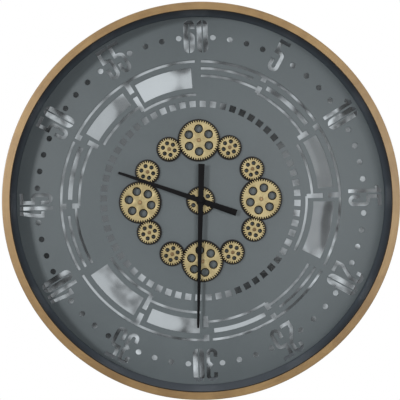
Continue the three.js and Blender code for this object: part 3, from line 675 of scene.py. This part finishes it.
# Width that a digit takes in its numeral, and how far its middle stands off its bar: the 1 takes its
# bar and its flag, the others take the full width.
def digitRoom(digit):
    flag = dialForm["flagReach"]
    return (stroke + flag, -flag / 2) if digit == "1" else (width, 0.0)


# Turns points drawn at the top of the dial clockwise round the dial.
def aroundDial(points, degrees):
    angle = math.radians(-degrees)
    turn = np.array([[math.cos(angle), math.sin(angle)], [-math.sin(angle), math.cos(angle)]])
    return points @ turn


# Strokes of a whole numeral: its digits side by side, centred, lifted to their foot circle.
def numeralStrokes(text, degrees):
    rooms = [digitRoom(digit) for digit in text]
    left = -(sum(room for room, _ in rooms) + dialForm["digitSpace"] * (len(text) - 1)) / 2
    made = []
    for digit, (room, off) in zip(text, rooms):
        shift = np.array([left + room / 2 - off, dialForm["numeralFoot"]])
        left += room + dialForm["digitSpace"]
        made += [(aroundDial(a + shift, degrees), aroundDial(b + shift, degrees), layer)
                 for a, b, layer in digitStrokes(digit)]
    return made


# A slot between two radii and two dial angles, clockwise from the top, as two matching arcs with a
# point for each degree.
def slot(inner, outer, start, end, layer=0):
    angles = 90 - np.linspace(start, end, max(2, int(round(end - start)) + 1))
    return polar(outer, angles), polar(inner, angles), layer


# One repeat of the pierced band, in the same lines, windows and bars as the dial's solid. A line is
# a slot half its width inside and outside its circle, a window a slot between two circles, and a
# bar a slot that runs outward over a narrow angle.
def bandStrokes(start):
    b = bandForm
    half = b["line"] / 2
    first, second, third, end = b["firstBar"], b["secondBar"], b["thirdBar"], b["end"]
    lap, begin = b["lap"], b["lineStart"]
    lines = [(b["outer"], begin, second - b["lineStop"]), (b["middle"], begin, b["shortLineEnd"]),
             (b["inner"], begin, first), (b["ledge"], first, second),
             (b["outer"], second - b["bar"], end), (b["step"], second + b["lineStop"], third),
             (b["foot"], third, end)]
    windows = [(b["bandFoot"], b["windowTop"], first + b["windowStart"], second - b["windowStop"]),
               (b["shortFoot"], b["windowTop"], second + b["windowStart"], third - b["windowStop"]),
               (b["tallFoot"], b["windowTop"], third + b["windowStart"], end - begin)]
    bars = [(b["windowTop"] + lap, b["outer"], first), (b["ledge"], b["inner"] + b["reach"], first),
            (b["windowTop"] + lap, b["outer"], second),
            (b["step"] + b["reach"], b["bandFoot"] - lap, second),
            (b["bandFoot"] - lap, b["outer"], third), (b["foot"], b["ledge"] + lap, third)]
    made = [slot(r - half, r + half, start + a, start + c, i % 2) for i, (r, a, c) in enumerate(lines)]
    made += [slot(low, high, start + a, start + c, 0) for low, high, a, c in windows]
    made += [slot(low, high, start + a - b["bar"], start + a + b["bar"], 2) for low, high, a in bars]
    return made


# The dial: a disc with eased edges, less every stroke, dot and dash, less the holes for the arbors.
def makeDial():
    whole, easing = span("dial_plate"), dialForm["easing"]
    section = ringSection("dial_plate", dialForm["centerHole"], easing)
    plate = turnedRing("dialPlate", section, finishes["dialPaint"], caseForm["steps"])
    heights, flares = throughCut(whole["back"], whole["front"], easing)
    strokes = []
    for i in range(12):
        strokes += numeralStrokes("60" if i == 0 else str(5 * i), 30 * i)
    for i in range(3):
        strokes += bandStrokes(120 * i)
    for i in range(60):
        middle, reach = 6 * i + 3, dialForm["dashAngle"] / 2
        strokes.append(slot(dialForm["dashInner"], dialForm["dashOuter"], middle - reach, middle + reach))
    layers = [[stripPrism(a, b, heights, flares) for a, b, at in strokes if at == layer]
              for layer in range(3)]
    layers[0] += [roundPrism(polar(dialForm["dotCircle"], 90 - 6 * i), dialForm["dotRadius"], heights,
                             flares) for i in range(60) if i % 5]
    layers[0] += [roundPrism(polar(span("big_wheel_12")["y"], 90 * i), dialForm["arborHole"], heights,
                             flares) for i in range(4)]
    cutters = [makeCutter(f"dialCutter{i}", prisms, finishes["dialPaint"])
               for i, prisms in enumerate(layers)]
    combine(plate, cutters)
    standsFor(plate, "case", "dial_paint", "dial_plate")


makeDial()

print("clock: wheels on the dial")

wheelForm = {
    "module": 1.25 * mm, "addendum": 0.95, "dedendum": 1.3, "easing": 0.2 * mm,
    "goldTip": 1.6 * mm, "goldRoot": 1.8 * mm, "holeEasing": 0.7 * mm, "samples": 12,
    "flank": (0.1, 0.4), "goldFlank": (0.13, 0.3),  # shares of the pitch where a flank starts and ends
    "bigTeeth": 50, "smallTeeth": 28, "centerTeeth": 33, "meshAngle": 105,
    "bigBore": 3.3 * mm, "smallBore": 2.4 * mm, "centerBore": 7.2 * mm,
}
# Rings of holes: the circle that they stand on, their radius, and the width of their dark edge
holeRings = {
    "big": (17.7 * mm, 5.5 * mm, 1.4 * mm),
    "small": (9.4 * mm, 2.4 * mm, 0.9 * mm),
    "center": (13.3 * mm, 2.6 * mm, 0.9 * mm),
}
bigWheelTurns = {12: 0, 3: -15, 6: 12, 9: 15}  # hour: turn of its ring of holes, in degrees


# Tooth phase of a wheel in mesh with another, in the direction from that one to it.
def meshedPhase(direction, phase, teeth, nextTeeth):
    return direction + 180 - 180 / nextTeeth + (direction - phase) * teeth / nextTeeth


# A toothed wheel: round its rim the radius steps between tip and root along straight flanks. The
# gold of its face stops short of the tips and runs in between the teeth, in longer, sharper
# points, and leaves a dark rim. Its ring of holes is cut with wide dark edges and gold walls. The
# dark rim and the holes' dark edges are partly the wheel's dark sides, partly painted shade.
def makeWheel(name, node, body, teeth, phase, bore, holes, holeTurn):
    whole = span(node)
    form = wheelForm
    u = np.arange(teeth * form["samples"]) / form["samples"]
    fraction = np.abs((u + 0.5) % 1 - 0.5)
    lift = np.interp(fraction, form["flank"], [form["addendum"], -form["dedendum"]])
    rim = (teeth / 2 + lift) * form["module"]
    high = (teeth / 2 + form["addendum"]) * form["module"] - form["goldTip"]
    low = (teeth / 2 - form["dedendum"]) * form["module"] - form["goldRoot"]
    gold = np.interp(fraction, form["goldFlank"], [high, low])
    easing, back, front = form["easing"], whole["back"], whole["front"]
    gold = np.minimum(gold, rim - 2 * easing)
    radius = np.stack([np.full_like(rim, bore), np.full_like(rim, bore), gold, rim - easing, rim, rim,
                       rim - easing], axis=1)
    height = np.broadcast_to([back, front, front, front, front - easing, back + easing, back],
                             radius.shape)
    turn = polar(1.0, phase + u * 360 / teeth)
    across = radius[..., None] * turn[:, None, :] + np.array([whole["x"], whole["y"]])
    points = np.concatenate([across, height[..., None]], axis=-1)
    columns = radius.shape[1]
    faces = gridFaces(len(rim), columns)
    dark = np.arange(len(faces)) % columns != 1  # all but the face from the bore to the gold's edge
    piece = makePiece(name, points, faces, [finishes["gold"], finishes["goldEdge"]], dark)
    circle, hole, edge = holeRings[holes]
    heights, flares = throughCut(back, front, form["holeEasing"], edge)
    centers = polar(circle, holeTurn + np.arange(6) * 60) + np.array([whole["x"], whole["y"]])
    prisms = [roundPrism(center, hole, heights, flares, smallSteps) for center in centers]
    bands = len(heights) + 1
    slant = np.arange(sum(len(each) for _, each in prisms)) % bands == bands - 3
    combine(piece, [makeCutter(name + "Cutter", prisms, [finishes["gold"], finishes["goldEdge"]], slant)])
    standsFor(piece, body, "gold", node)


# All thirteen wheels: a big one at each quarter with the two small ones that it drives, which stand
# at the mesh angle from its own direction, and the centre wheel.
def makeWheels():
    for hour, turn in bigWheelTurns.items():
        place = 90 - 30 * hour
        makeWheel(f"bigWheel{hour}", f"big_wheel_{hour}", f"drive_{hour}", wheelForm["bigTeeth"], place,
                  wheelForm["bigBore"], "big", 90 + turn)
        for side in (-1, 1):
            neighbour = (hour + side + 11) % 12 + 1
            direction = place - side * wheelForm["meshAngle"]
            phase = meshedPhase(direction, place, wheelForm["bigTeeth"], wheelForm["smallTeeth"])
            makeWheel(f"smallWheel{neighbour}", f"small_wheel_{neighbour}", f"idler_{neighbour}",
                      wheelForm["smallTeeth"], phase, wheelForm["smallBore"], "small", direction + 30)
    makeWheel("centerWheel", "center_wheel", "sun", wheelForm["centerTeeth"], 90,
              wheelForm["centerBore"], "center", 90)


studForm = {
    "hours": (1, 2, 4, 5, 7, 8, 10, 11), "foot": 4.4 * mm, "footHeight": 2.4 * mm,
    "shank": 1.95 * mm, "head": 2.9 * mm, "headHeight": 1.0 * mm, "crown": 1.4 * mm, "easing": 0.2 * mm,
}


# Studs of the small wheels: foot, shank and a domed head, turned.
def makeStuds():
    foot, shank, head, easing = (studForm[key] for key in ("foot", "shank", "head", "easing"))
    for hour in studForm["hours"]:
        whole = span(f"stud_{hour}")
        back, front = whole["back"], whole["front"]
        top, neck = back + studForm["footHeight"], front - studForm["headHeight"]
        profile = [[0, back], [foot - easing, back], [foot, back + easing], [foot, top - easing],
                   [foot - easing, top], [shank, top], [shank, neck], [head, neck],
                   [head, neck + 2 * easing], [head - 0.5 * mm, front - easing],
                   [studForm["crown"], front], [0, front]]
        piece = turnedSolid(f"stud{hour}", profile, finishes["studHead"], smallSteps, whole["x"],
                            whole["y"])
        standsFor(piece, "case", "steel", f"stud_{hour}")


capForm = {"gap": 0.05 * mm, "height": 1.4 * mm, "radius": 2.9 * mm, "dimple": 0.9 * mm}


# Cap on the nose of each big wheel's arbor: a low turned button, dimpled in its middle, that rides
# with the wheel.
def makeCaps():
    radius, dimple = capForm["radius"], capForm["dimple"]
    for hour in bigWheelTurns:
        whole = span(f"big_wheel_{hour}")
        back, front = whole["front"] + capForm["gap"], whole["front"] + capForm["height"]
        profile = [[0, back], [radius, back], [radius, front - 0.5 * mm],
                   [radius - 0.4 * mm, front - 0.1 * mm], [radius - 1.0 * mm, front],
                   [dimple, front], [0, front - dimple]]
        piece = turnedSolid(f"wheelCap{hour}", profile, finishes["shaftEnd"], smallSteps, whole["x"],
                            whole["y"])
        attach(piece, f"drive_{hour}")


makeWheels()
makeStuds()
makeCaps()

print("clock: hands")

handForm = {
    "hour": {"node": "hour_hand", "tip": 134.6 * mm, "tail": 58.5 * mm, "tipWidth": 3.9 * mm,
             "tailWidth": 10 * mm, "hub": 7.2 * mm, "bore": 3.3 * mm, "turn": 290.5},
    "minute": {"node": "minute_hand", "tip": 196.5 * mm, "tail": 57 * mm, "tipWidth": 3.2 * mm,
               "tailWidth": 9.7 * mm, "hub": 6 * mm, "bore": 1.9 * mm, "turn": 182.85},
    "easing": 0.3 * mm, "bevel": 0.15 * mm, "boreEasing": 0.1 * mm,
}


# A hand: an eased rectangular section whose width falls evenly from tail to tip, joined to a
# round hub and bored through.
def makeHand(name, form):
    whole = span(form["node"])
    back, front, easing = whole["back"], whole["front"], handForm["easing"]
    along = np.array([-form["tail"], -form["tail"] + easing, form["tip"] - easing, form["tip"]])
    wide = np.interp(along, [along[0], along[-1]], [form["tailWidth"], form["tipWidth"]]) / 2
    inset = np.array([easing, 0, 0, easing])
    section = np.array([[-1, 0], [-1, 1], [1, 1], [1, 0]], float)  # side, and back or front
    across = section[None, :, 0] * (wide - inset)[:, None]
    height = np.broadcast_to(back + section[None, :, 1] * (front - back), across.shape)
    middle = np.broadcast_to(along[:, None], across.shape)
    points = np.stack([across, middle, height], axis=-1)
    points[..., :2] = aroundDial(points[..., :2], form["turn"])
    faces = gridFaces(4, 4, closeRows=False)
    caps = np.array([[0, 1, 2, 3], [12, 13, 14, 15]])
    blade = makePiece(name, points, np.concatenate([faces, caps]), finishes["handBlack"])
    hub = turnedSolid(name + "Hub", [[0, back], [form["hub"], back], [form["hub"], front - easing],
                                     [form["hub"] - easing, front], [0, front]],
                      finishes["handBlack"], wideSteps)
    combine(blade, [hub], "UNION")
    heights, flares = throughCut(back, front, handForm["boreEasing"])
    bore = makeCutter(name + "Bore", [roundPrism((0, 0), form["bore"], heights, flares, smallSteps)],
                      finishes["handBlack"])
    combine(blade, [bore])
    return softenEdges(blade, handForm["bevel"])


# The cap over the minute arbor: a low turned dome with a blind hole.
def makeCap():
    whole = span("hand_cap")
    radius, back, front = whole["radius"], whole["back"], whole["front"]
    middle = (back + front) / 2
    bore, dome = handForm["minute"]["bore"], np.radians(np.linspace(0, 90, 8))
    curve = np.stack([radius * np.cos(dome), middle + (front - middle) * np.sin(dome)], axis=-1)
    profile = np.concatenate([[[0, middle], [bore, middle], [bore, back], [radius, back]], curve])
    profile[-1, 0] = 0
    return turnedSolid("handCap", profile, finishes["handBlack"], wideSteps)


standsFor(makeHand("hourHand", handForm["hour"]), "hour", "black_paint", "hour_hand")
standsFor(makeHand("minuteHand", handForm["minute"]), "minute", "black_paint", "minute_hand")
standsFor(makeCap(), "minute", "black_paint", "hand_cap")

print("clock: units behind the dial")


# Gives a mesh one finish in place of what it has.
def coat(mesh, finish):
    mesh.materials.clear()
    mesh.materials.append(finishes[finish])


# A copy of a CAD node, merged, with its edges eased by a bevel that is then applied.
def softenedCopy(name, node, body, finish, slotName, easing):
    mesh = nodes[node].data.copy()
    coat(mesh, finish)
    tidy = bmesh.new()
    tidy.from_mesh(mesh)
    bmesh.ops.remove_doubles(tidy, verts=tidy.verts, dist=1e-6)
    bmesh.ops.dissolve_limit(tidy, angle_limit=math.radians(1), verts=tidy.verts, edges=tidy.edges)
    tidy.to_mesh(mesh)
    tidy.free()
    piece = softenEdges(placed(name, mesh), easing, 50)
    piece.data.shade_smooth()
    piece.data.set_sharp_from_angle(angle=sharpAngle)
    standsFor(piece, body, slotName, node)


for i in range(1, 7):
    softenedCopy(f"boardBracket{i}", f"board_bracket_{i}", "case", "zinc", "steel", 0.25 * mm)
softenedCopy("hangerPlate", "hanger_bracket", "case", "zinc", "steel", 0.3 * mm)
softenedCopy("movementBody", "movement_case", "case", "blackPlastic", "black_plastic", 0.4 * mm)
softenedCopy("batteryBody", "battery_box", "case", "blackPlastic", "black_plastic", 0.3 * mm)
softenedCopy("batteryLid", "battery_cover", "cover", "blackPlastic", "black_plastic", 0.25 * mm)
softenedCopy("switchKnob", "power_switch", "switch", "greyPlastic", "grey_plastic", 0.2 * mm)

# CAD nodes that keep their own shape, by their finish
keptNodes = {
    "whitePlastic": ["sun_wheel", "motor_pinion"] + [f"drive_arbor_{hour}" for hour in bigWheelTurns],
    "zinc": ["hour_pipe", "minute_arbor"] + [f"plate_pillar_{i}" for i in range(1, 5)],
    "handBlack": ["stem_nut"],
}
for finish, names in keptNodes.items():
    for node in names:
        coat(nodes[node].data, finish)

plateForm = {
    "easing": 0.2 * mm, "bushingHole": 5.3 * mm, "shaftHole": 2.8 * mm, "pivotHole": 1.8 * mm,
    "steps": 144,
}


# The plate that carries the train: a disc with eased edges, bored for the bushing, the motor's
# shaft and the pivots of the four arbors.
def makeRearPlate():
    whole, motor, form = span("rear_plate"), span("gear_motor"), plateForm
    back, front, radius, easing = whole["back"], whole["front"], whole["radius"], form["easing"]
    profile = [[0, back], [radius - easing, back], [radius, back + easing], [radius, front - easing],
               [radius - easing, front], [0, front]]
    plate = turnedSolid("rearPlate", profile, finishes["zinc"], form["steps"])
    heights, flares = throughCut(back, front, easing)
    holes = [((0, 0), form["bushingHole"]), ((motor["x"], motor["y"]), form["shaftHole"])]
    holes += [(polar(span("big_wheel_12")["y"], 90 * i), form["pivotHole"]) for i in range(4)]
    prisms = [roundPrism(center, hole, heights, flares) for center, hole in holes]
    combine(plate, [makeCutter("rearPlateHoles", prisms, finishes["zinc"])])
    standsFor(plate, "case", "steel", "rear_plate")


screwForm = {
    "circle": 112 * mm, "gap": 0.05 * mm, "radius": 3.4 * mm, "height": 1.7 * mm,
    "recess": 0.8 * mm, "recessWidth": 0.8 * mm, "recessReach": 1.9 * mm,
    "firstTurn": 20, "turnStep": 50,
}


# Screws into the pillars: a turned pan head with two crossed strips cut out of it, each at its
# own angle.
def makeScrews():
    form, radius = screwForm, screwForm["radius"]
    front = span("rear_plate")["back"] - form["gap"]
    back = front - form["height"]
    profile = [[0, back], [0.45 * radius, back], [0.8 * radius, back + 0.3 * mm],
               [radius, back + 1.1 * mm], [radius, front], [0, front]]
    heights = np.array([back - mm, back, back + form["recess"]])
    flares = np.array([0.1, 0.1, 0]) * mm
    for i in range(4):
        center, first = polar(form["circle"], 45 + 90 * i), form["firstTurn"] + form["turnStep"] * i
        head = turnedSolid(f"plateScrew{i + 1}", profile, finishes["zinc"], smallSteps, *center)
        for turn in (first, first + 90):
            along, side = polar(form["recessReach"], turn), polar(form["recessWidth"] / 2, turn + 90)
            line = np.stack([center - along, center + along])
            prism = stripPrism(line + side, line - side, heights, flares)
            combine(head, [makeCutter("recess", [prism], finishes["zinc"])])
        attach(head, "case")


motorForm = {"boreDepth": 8 * mm, "boss": 5 * mm, "bossHeight": 0.8 * mm, "easing": 0.3 * mm,
             "steps": 72}


# The motor's can: turned, its edges rounded, with a low boss round its rear bearing, and bored
# from the front for the pinion's shaft.
def makeMotor():
    whole, form, bore = span("gear_motor"), motorForm, plateForm["shaftHole"]
    back, front, radius = whole["back"], whole["front"], whole["radius"]
    boss, easing = form["boss"], form["easing"]
    low, end = back + form["bossHeight"], front - form["boreDepth"]
    profile = [[0, back], [boss - easing, back], [boss, back + easing],
               [boss, low], [radius - 1.5 * mm, low], [radius - 0.5 * mm, low + 0.5 * mm],
               [radius, low + 1.5 * mm], [radius, front - easing], [radius - easing, front],
               [bore, front], [bore, end], [0, end]]
    can = turnedSolid("motorCan", profile, finishes["blackPlastic"], form["steps"], whole["x"],
                      whole["y"])
    standsFor(can, "case", "black_plastic", "gear_motor")


cellForm = {
    "nub": 2.7 * mm, "nubLength": 1.6 * mm, "sleeved": (1, 5),  # first and last column in the sleeve
}


# A cell lying along x: turned about its own axis, sleeved up to its shoulders, with metal ends.
def makeCell(name, node):
    low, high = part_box(node)
    middle = (low + high) / 2
    radius, nub = max(high.y - low.y, high.z - low.z) / 2, cellForm["nub"]
    start, shoulder, end = low.x, high.x - cellForm["nubLength"], high.x
    profile = [[0, start], [radius - 0.6 * mm, start], [radius - 0.15 * mm, start + 0.4 * mm],
               [radius, start + 0.9 * mm], [radius, shoulder - 1.3 * mm],
               [radius - 0.3 * mm, shoulder - 0.5 * mm], [radius - mm, shoulder - 0.05 * mm],
               [nub, shoulder], [nub, end - 0.3 * mm], [nub - 0.3 * mm, end], [0, end]]
    grid, faces = turnedGrid(profile, wideSteps)
    points = np.stack([grid[..., 2], grid[..., 0] + middle.z - axisZ, grid[..., 1] - middle.y], axis=-1)
    column = openAxis(np.arange(len(faces)) % len(profile), len(profile))
    first, last = cellForm["sleeved"]
    piece = makePiece(name, points, openAxis(faces, len(profile)),
                      [finishes["cellSleeve"], finishes["zinc"]], (column < first) | (column > last))
    standsFor(piece, "case", "cell_jacket", node)


knobForm = {"radius": 6 * mm, "stem": 2 * mm, "height": 2 * mm, "flutes": 24, "fluteDepth": 0.06,
            "hollow": 3.2 * mm, "easing": 0.4 * mm}


# The setting knob: a turned disc on a stem, hollowed at its back, its rim rippled by a cosine of
# the angle.
def makeKnob():
    whole, form, easing = span("set_knob"), knobForm, knobForm["easing"]
    back, front, radius, stem = whole["back"], whole["front"], form["radius"], form["stem"]
    top, hollow, steps = back + form["height"], form["hollow"], form["flutes"] * 8
    profile = [[0, back + easing], [hollow, back + easing], [hollow + easing, back],
               [radius - easing, back], [radius, back + easing], [radius, top - 0.3 * mm],
               [radius - 0.3 * mm, top], [stem, top], [stem, front], [0, front]]
    points, faces = turnedGrid(profile, steps)
    wave = np.cos(np.arange(steps) * 2 * math.pi * form["flutes"] / steps)
    points[:, 3:7, :2] *= (1 - form["fluteDepth"] * (1 + wave) / 2)[:, None, None]
    points[..., :2] += np.array([whole["x"], whole["y"]])
    piece = makePiece("setKnob", points, openAxis(faces, len(profile)), finishes["whitePlastic"])
    standsFor(piece, "knob", "white_plastic", "set_knob")


makeRearPlate()
makeScrews()
makeMotor()
for name, node in (("movementCell", "movement_cell"), ("boxCellUpper", "box_cell_upper"),
                   ("boxCellLower", "box_cell_lower")):
    makeCell(name, node)
makeKnob()

print("clock: stage, light and camera")

# Scale is metres to a pixel at the case's front; the axis is wanted so many pixels right and up of
# the picture's middle
cameraForm = {"distance": 1.195, "left": 0.018, "down": -0.006, "roll": 1.7, "scale": 1.505 * mm,
              "axisRight": 1.05, "axisUp": -0.82, "pixels": 400, "sensor": 36}
stageForm = {"floorDrop": 0.75, "floorSize": 3.0, "floorTone": (0.9, 0.9, 0.9, 1), "floorRough": 0.8,
             "cardDistance": 1.36, "cardSize": 1.5, "worldLight": 0.16}


# A flat square: four corners about a middle, in the two given directions.
def makeSquare(name, middle, right, up, size):
    middle, right, up = (np.array(v, float) for v in (middle, right, up))
    corners = [middle + (a * right + b * up) * size / 2 for a, b in ((-1, -1), (1, -1), (1, 1), (-1, 1))]
    mesh = bpy.data.meshes.new(name)
    mesh.from_pydata([tuple(c) for c in corners], [], [(0, 1, 2, 3)])
    square = placed(name, mesh)
    return square


# Pale floor well below the clock.
def makeFloor():
    floor = makeSquare("paleFloor", (0, 0, axisZ - stageForm["floorDrop"]), (1, 0, 0), (0, 1, 0),
                       stageForm["floorSize"])
    paint = bpy.data.materials.new("paleFloor")
    paint.use_nodes = True
    shader = paint.node_tree.nodes["Principled BSDF"]
    shader.inputs["Base Color"].default_value = stageForm["floorTone"]
    shader.inputs["Roughness"].default_value = stageForm["floorRough"]
    floor.data.materials.append(paint)


# What the room behind the viewer puts in the mirror, as seen on the dial: soft-edged ovals, each
# with its middle (across, up) and its half sizes as shares of the dial's radius, its turn in
# degrees, and its brightness
roomShapes = [
    ((-0.24, 0.62), (0.16, 0.09), 23, 0.84),  # tall window, upper left
    ((-0.04, 0.65), (0.05, 0.07), -2, 0.72),  # its right end
    ((-0.07, 0.72), (0.04, 0.03), 8, 0.12),  # spot at its top
    ((-0.54, 0.43), (0.15, 0.07), 50, 0.62),  # short window, upper left
    ((-0.41, 0.54), (0.05, 0.04), 38, 0.3),  # grey in it
    ((-0.55, -0.47), (0.17, 0.07), -50, 0.66),  # window, lower left
    ((-0.46, -0.51), (0.08, 0.02), -52, 0.3),  # grey streak in it
    ((-0.24, -0.64), (0.14, 0.06), -17, 0.72),  # window at the foot
    ((0.20, -0.68), (0.17, 0.05), 13, 0.72),  # narrow window, foot right
    ((0.58, -0.04), (0.30, 0.03), 88, 0.7),  # inner line at the right
    ((0.62, -0.14), (0.17, 0.06), 80, 0.36),  # grey in the low window
    ((0.68, -0.14), (0.18, 0.03), 83, 0.07),  # dark streak in it
    ((0.65, 0.18), (0.19, 0.08), 107, 0.2),  # grey in the right window
    ((0.61, 0.22), (0.12, 0.02), 107, 0.34),  # pale streak in it
    ((0.75, 0.19), (0.14, 0.03), 104, 0.17),  # outer line at the right
    ((0.50, 0.17), (0.15, 0.035), 109, 0.2),  # dashes at the right
    ((0.83, 0.32), (0.09, 0.04), 111, 0.26),  # dots below the 10
    ((0.31, 0.41), (0.21, 0.09), -35, 0.012),  # dashes, upper right
    ((0.31, -0.43), (0.20, 0.09), 34, 0.02),  # dashes, lower right
    ((0.32, 0.83), (0.08, 0.04), -17, 0.03),  # dots, upper right
    ((0.67, 0.59), (0.12, 0.05), -45, 0.03),  # dots at the right
    ((0.50, 0.84), (0.04, 0.04), -22, 0.02),  # tip of the 5
    ((0.82, 0.49), (0.07, 0.05), 28, 0.03),  # tip of the 10
    ((-0.85, 0.27), (0.21, 0.06), 73, 0.02),  # dots above the 45
    ((-0.85, -0.26), (0.20, 0.06), 107, 0.02),  # dots below the 45
    ((-0.66, 0.59), (0.15, 0.06), 44, 0.03),  # dots, upper left
    ((-0.23, 0.85), (0.08, 0.04), 13, 0.03),  # dots, top left
    ((-0.62, -0.62), (0.07, 0.04), -44, 0.03),  # dots, lower left
    ((0.05, -0.83), (0.04, 0.03), -2, 0.03),  # inner end of the 30
    ((0.05, -0.95), (0.04, 0.03), -2, 0.03),  # outer end of the 30
    ((0.0, 0.97), (0.09, 0.03), 0, 0.04),  # outer end of the 60
    ((0.94, -0.01), (0.04, 0.09), 0, 0.2),  # outer end of the 15
    ((-0.64, -0.19), (0.15, 0.03), 103, 0.04),  # inner line at the left
    ((-0.52, -0.06), (0.27, 0.05), 96, 0.18),  # dashes at the left
    ((-0.39, 0.37), (0.14, 0.06), 46, 0.18),  # dashes, upper left
    ((-0.48, 0.21), (0.14, 0.06), 66, 0.18),  # dashes between those two
    ((-0.46, -0.27), (0.16, 0.05), 120, 0.2),  # dashes, lower left
    ((0.53, -0.85), (0.11, 0.04), 34, 0.14),  # numeral, lower right
    ((0.49, -0.57), (0.08, 0.05), 43, 0.08),  # lines, lower right
    ((0.27, 0.71), (0.12, 0.04), -17, 0.15),  # outer line, upper right
]

# Bright spots in the dots on each side of the 60, the 15 and the 30
dotShare = dialForm["dotCircle"] / span("dial_plate")["radius"]
roomShapes += [(polar(dotShare, 90 - degrees), (0.03, 0.03), 0, 0.6)
               for degrees in (-6, 6, 84, 96, 174, 186)]

roomForm = {
    "noise": (22.0, 3.0), "noiseRange": (0.35, 0.62), "levels": (0.1, 0.66),
    "fineNoise": (36.0, 2.0), "fineRange": (0.42, 0.58), "fineLevels": (0.3, 1.5),
    "fineStart": 0.74, "fineFull": 0.8,  # shares of the dial's radius
    "shapeEdge": (1.1, 0.75), "shapeShare": 0.94, "glow": (0.93, 0.97, 1, 1),
}


# Card behind the viewer, seen by reflections alone. Its own level is soft noise, darker and finely
# broken past the ring's inner circle. Each shape's share falls smoothly at its edge, and mixes its
# level in.
def makeCard():
    form, case, front = roomForm, span("outer_frame"), span("mirror_ring")["front"]
    away = case["front"] + stageForm["cardDistance"]
    spread = 1 + (away - front) / (case["front"] + cameraForm["distance"] - front)
    dialReach = span("dial_plate")["radius"] * spread
    card = makeSquare("roomCard", (0, -away, axisZ), (1, 0, 0), (0, 0, 1), stageForm["cardSize"])
    card.visible_camera = False
    card.visible_diffuse = False
    card.visible_shadow = False
    card.visible_transmission = False
    material = bpy.data.materials.new("roomCard")
    material.use_nodes = True
    tree = material.node_tree
    tree.nodes.remove(tree.nodes["Principled BSDF"])
    place = addNode(tree, "ShaderNodeTexCoord").outputs["Object"]
    own = addRange(tree, addNoise(tree, place, *form["noise"]), *form["noiseRange"], *form["levels"])
    fine = addRange(tree, addNoise(tree, place, *form["fineNoise"]), *form["fineRange"],
                    *form["fineLevels"])
    middle = addNode(tree, "ShaderNodeMapping", {"Vector": place, "Location": (0, away, -axisZ)})
    outer = addRange(tree, addVector(tree, "LENGTH", middle.outputs[0]),
                     form["fineStart"] * dialReach, form["fineFull"] * dialReach)
    level = addMath(tree, "MULTIPLY", own, addMix(tree, outer, 1.0, fine))
    for (x, y), halfSizes, turn, brightness in roomShapes:
        across = x * dialReach - cameraForm["left"] * (1 - spread)
        up = y * dialReach - cameraForm["down"] * (1 - spread)
        local = addNode(tree, "ShaderNodeMapping",
                        {"Vector": place, "Location": (across, -away, axisZ + up),
                         "Rotation": (0, math.radians(-turn), 0),
                         "Scale": (halfSizes[0] * dialReach, 1, halfSizes[1] * dialReach)},
                        vector_type="TEXTURE")
        far = addVector(tree, "LENGTH", local.outputs[0])
        share = addRange(tree, far, *form["shapeEdge"], smooth=True)
        level = addMix(tree, addMath(tree, "MULTIPLY", share, form["shapeShare"]), level, brightness)
    glow = addNode(tree, "ShaderNodeEmission", {"Color": form["glow"], "Strength": level})
    tree.links.new(glow.outputs[0], tree.nodes["Material Output"].inputs["Surface"])
    card.data.materials.append(material)


# World: white where it is seen, by the camera, in a reflection or through glass, and a plain grey
# level as light.
def makeWorld():
    world = bpy.data.worlds.new("studio")
    bpy.context.scene.world = world
    world.use_nodes = True
    tree = world.node_tree
    path = addNode(tree, "ShaderNodeLightPath").outputs
    seen = addMath(tree, "ADD", path["Is Camera Ray"], path["Is Glossy Ray"])
    through = addMath(tree, "ADD", seen, path["Is Transmission Ray"])
    level = addRange(tree, through, 0.0, 1.0, stageForm["worldLight"], 1.0)
    background = tree.nodes["Background"]
    background.inputs["Color"].default_value = (1, 1, 1, 1)
    tree.links.new(level, background.inputs["Strength"])


# Square lamps aimed at the dial's middle, each placed across, out from the wall and above the axis
lamps = {
    "keyLamp": {"place": (-2.1, 3.72, 0.58), "size": 0.6, "power": 67},
    "sideLamp": {"place": (0.5, 1.6, 0.05), "size": 0.6, "power": 6.8},
    "topLamp": {"place": (0, 0.7, 2.2), "size": 1.0, "power": 7},
}


# One lamp, turned so that its face looks along the line from its place to the dial's middle.
def makeLamp(name, form):
    data = bpy.data.lights.new(name, "AREA")
    data.size = form["size"]
    data.energy = form["power"]
    across, out, up = form["place"]
    place = Vector((across, -out, axisZ + up))
    lamp = placed(name, data)
    lamp.location = place
    lamp.rotation_euler = (Vector((0, 0, axisZ)) - place).to_track_quat("-Z", "Y").to_euler()


makeFloor()
makeCard()
makeWorld()
for name, form in lamps.items():
    makeLamp(name, form)


# The camera looks square on at the dial from a little left of and below the axis, rolled. The shift
# is where the axis would fall on the picture, less where it is wanted, as shares of the width.
def makeCamera():
    form, front = cameraForm, span("outer_frame")["front"]
    data = bpy.data.cameras.new("view")
    data.sensor_width = form["sensor"]
    data.lens = form["sensor"] * form["distance"] / (form["pixels"] * form["scale"])
    roll = math.radians(form["roll"])
    across = (form["left"] * math.cos(roll) - form["down"] * math.sin(roll)) / form["scale"]
    up = (form["left"] * math.sin(roll) + form["down"] * math.cos(roll)) / form["scale"]
    data.shift_x = (across - form["axisRight"]) / form["pixels"]
    data.shift_y = (up - form["axisUp"]) / form["pixels"]
    camera = placed("view", data)
    bpy.context.scene.camera = camera
    camera.location = (-form["left"], -front - form["distance"], axisZ - form["down"])
    camera.rotation_mode = "QUATERNION"
    square = Quaternion((1, 0, 0), math.radians(90))
    camera.rotation_quaternion = square @ Quaternion((0, 0, 1), -roll)


makeCamera()
bpy.context.scene.view_settings.view_transform = "Standard"
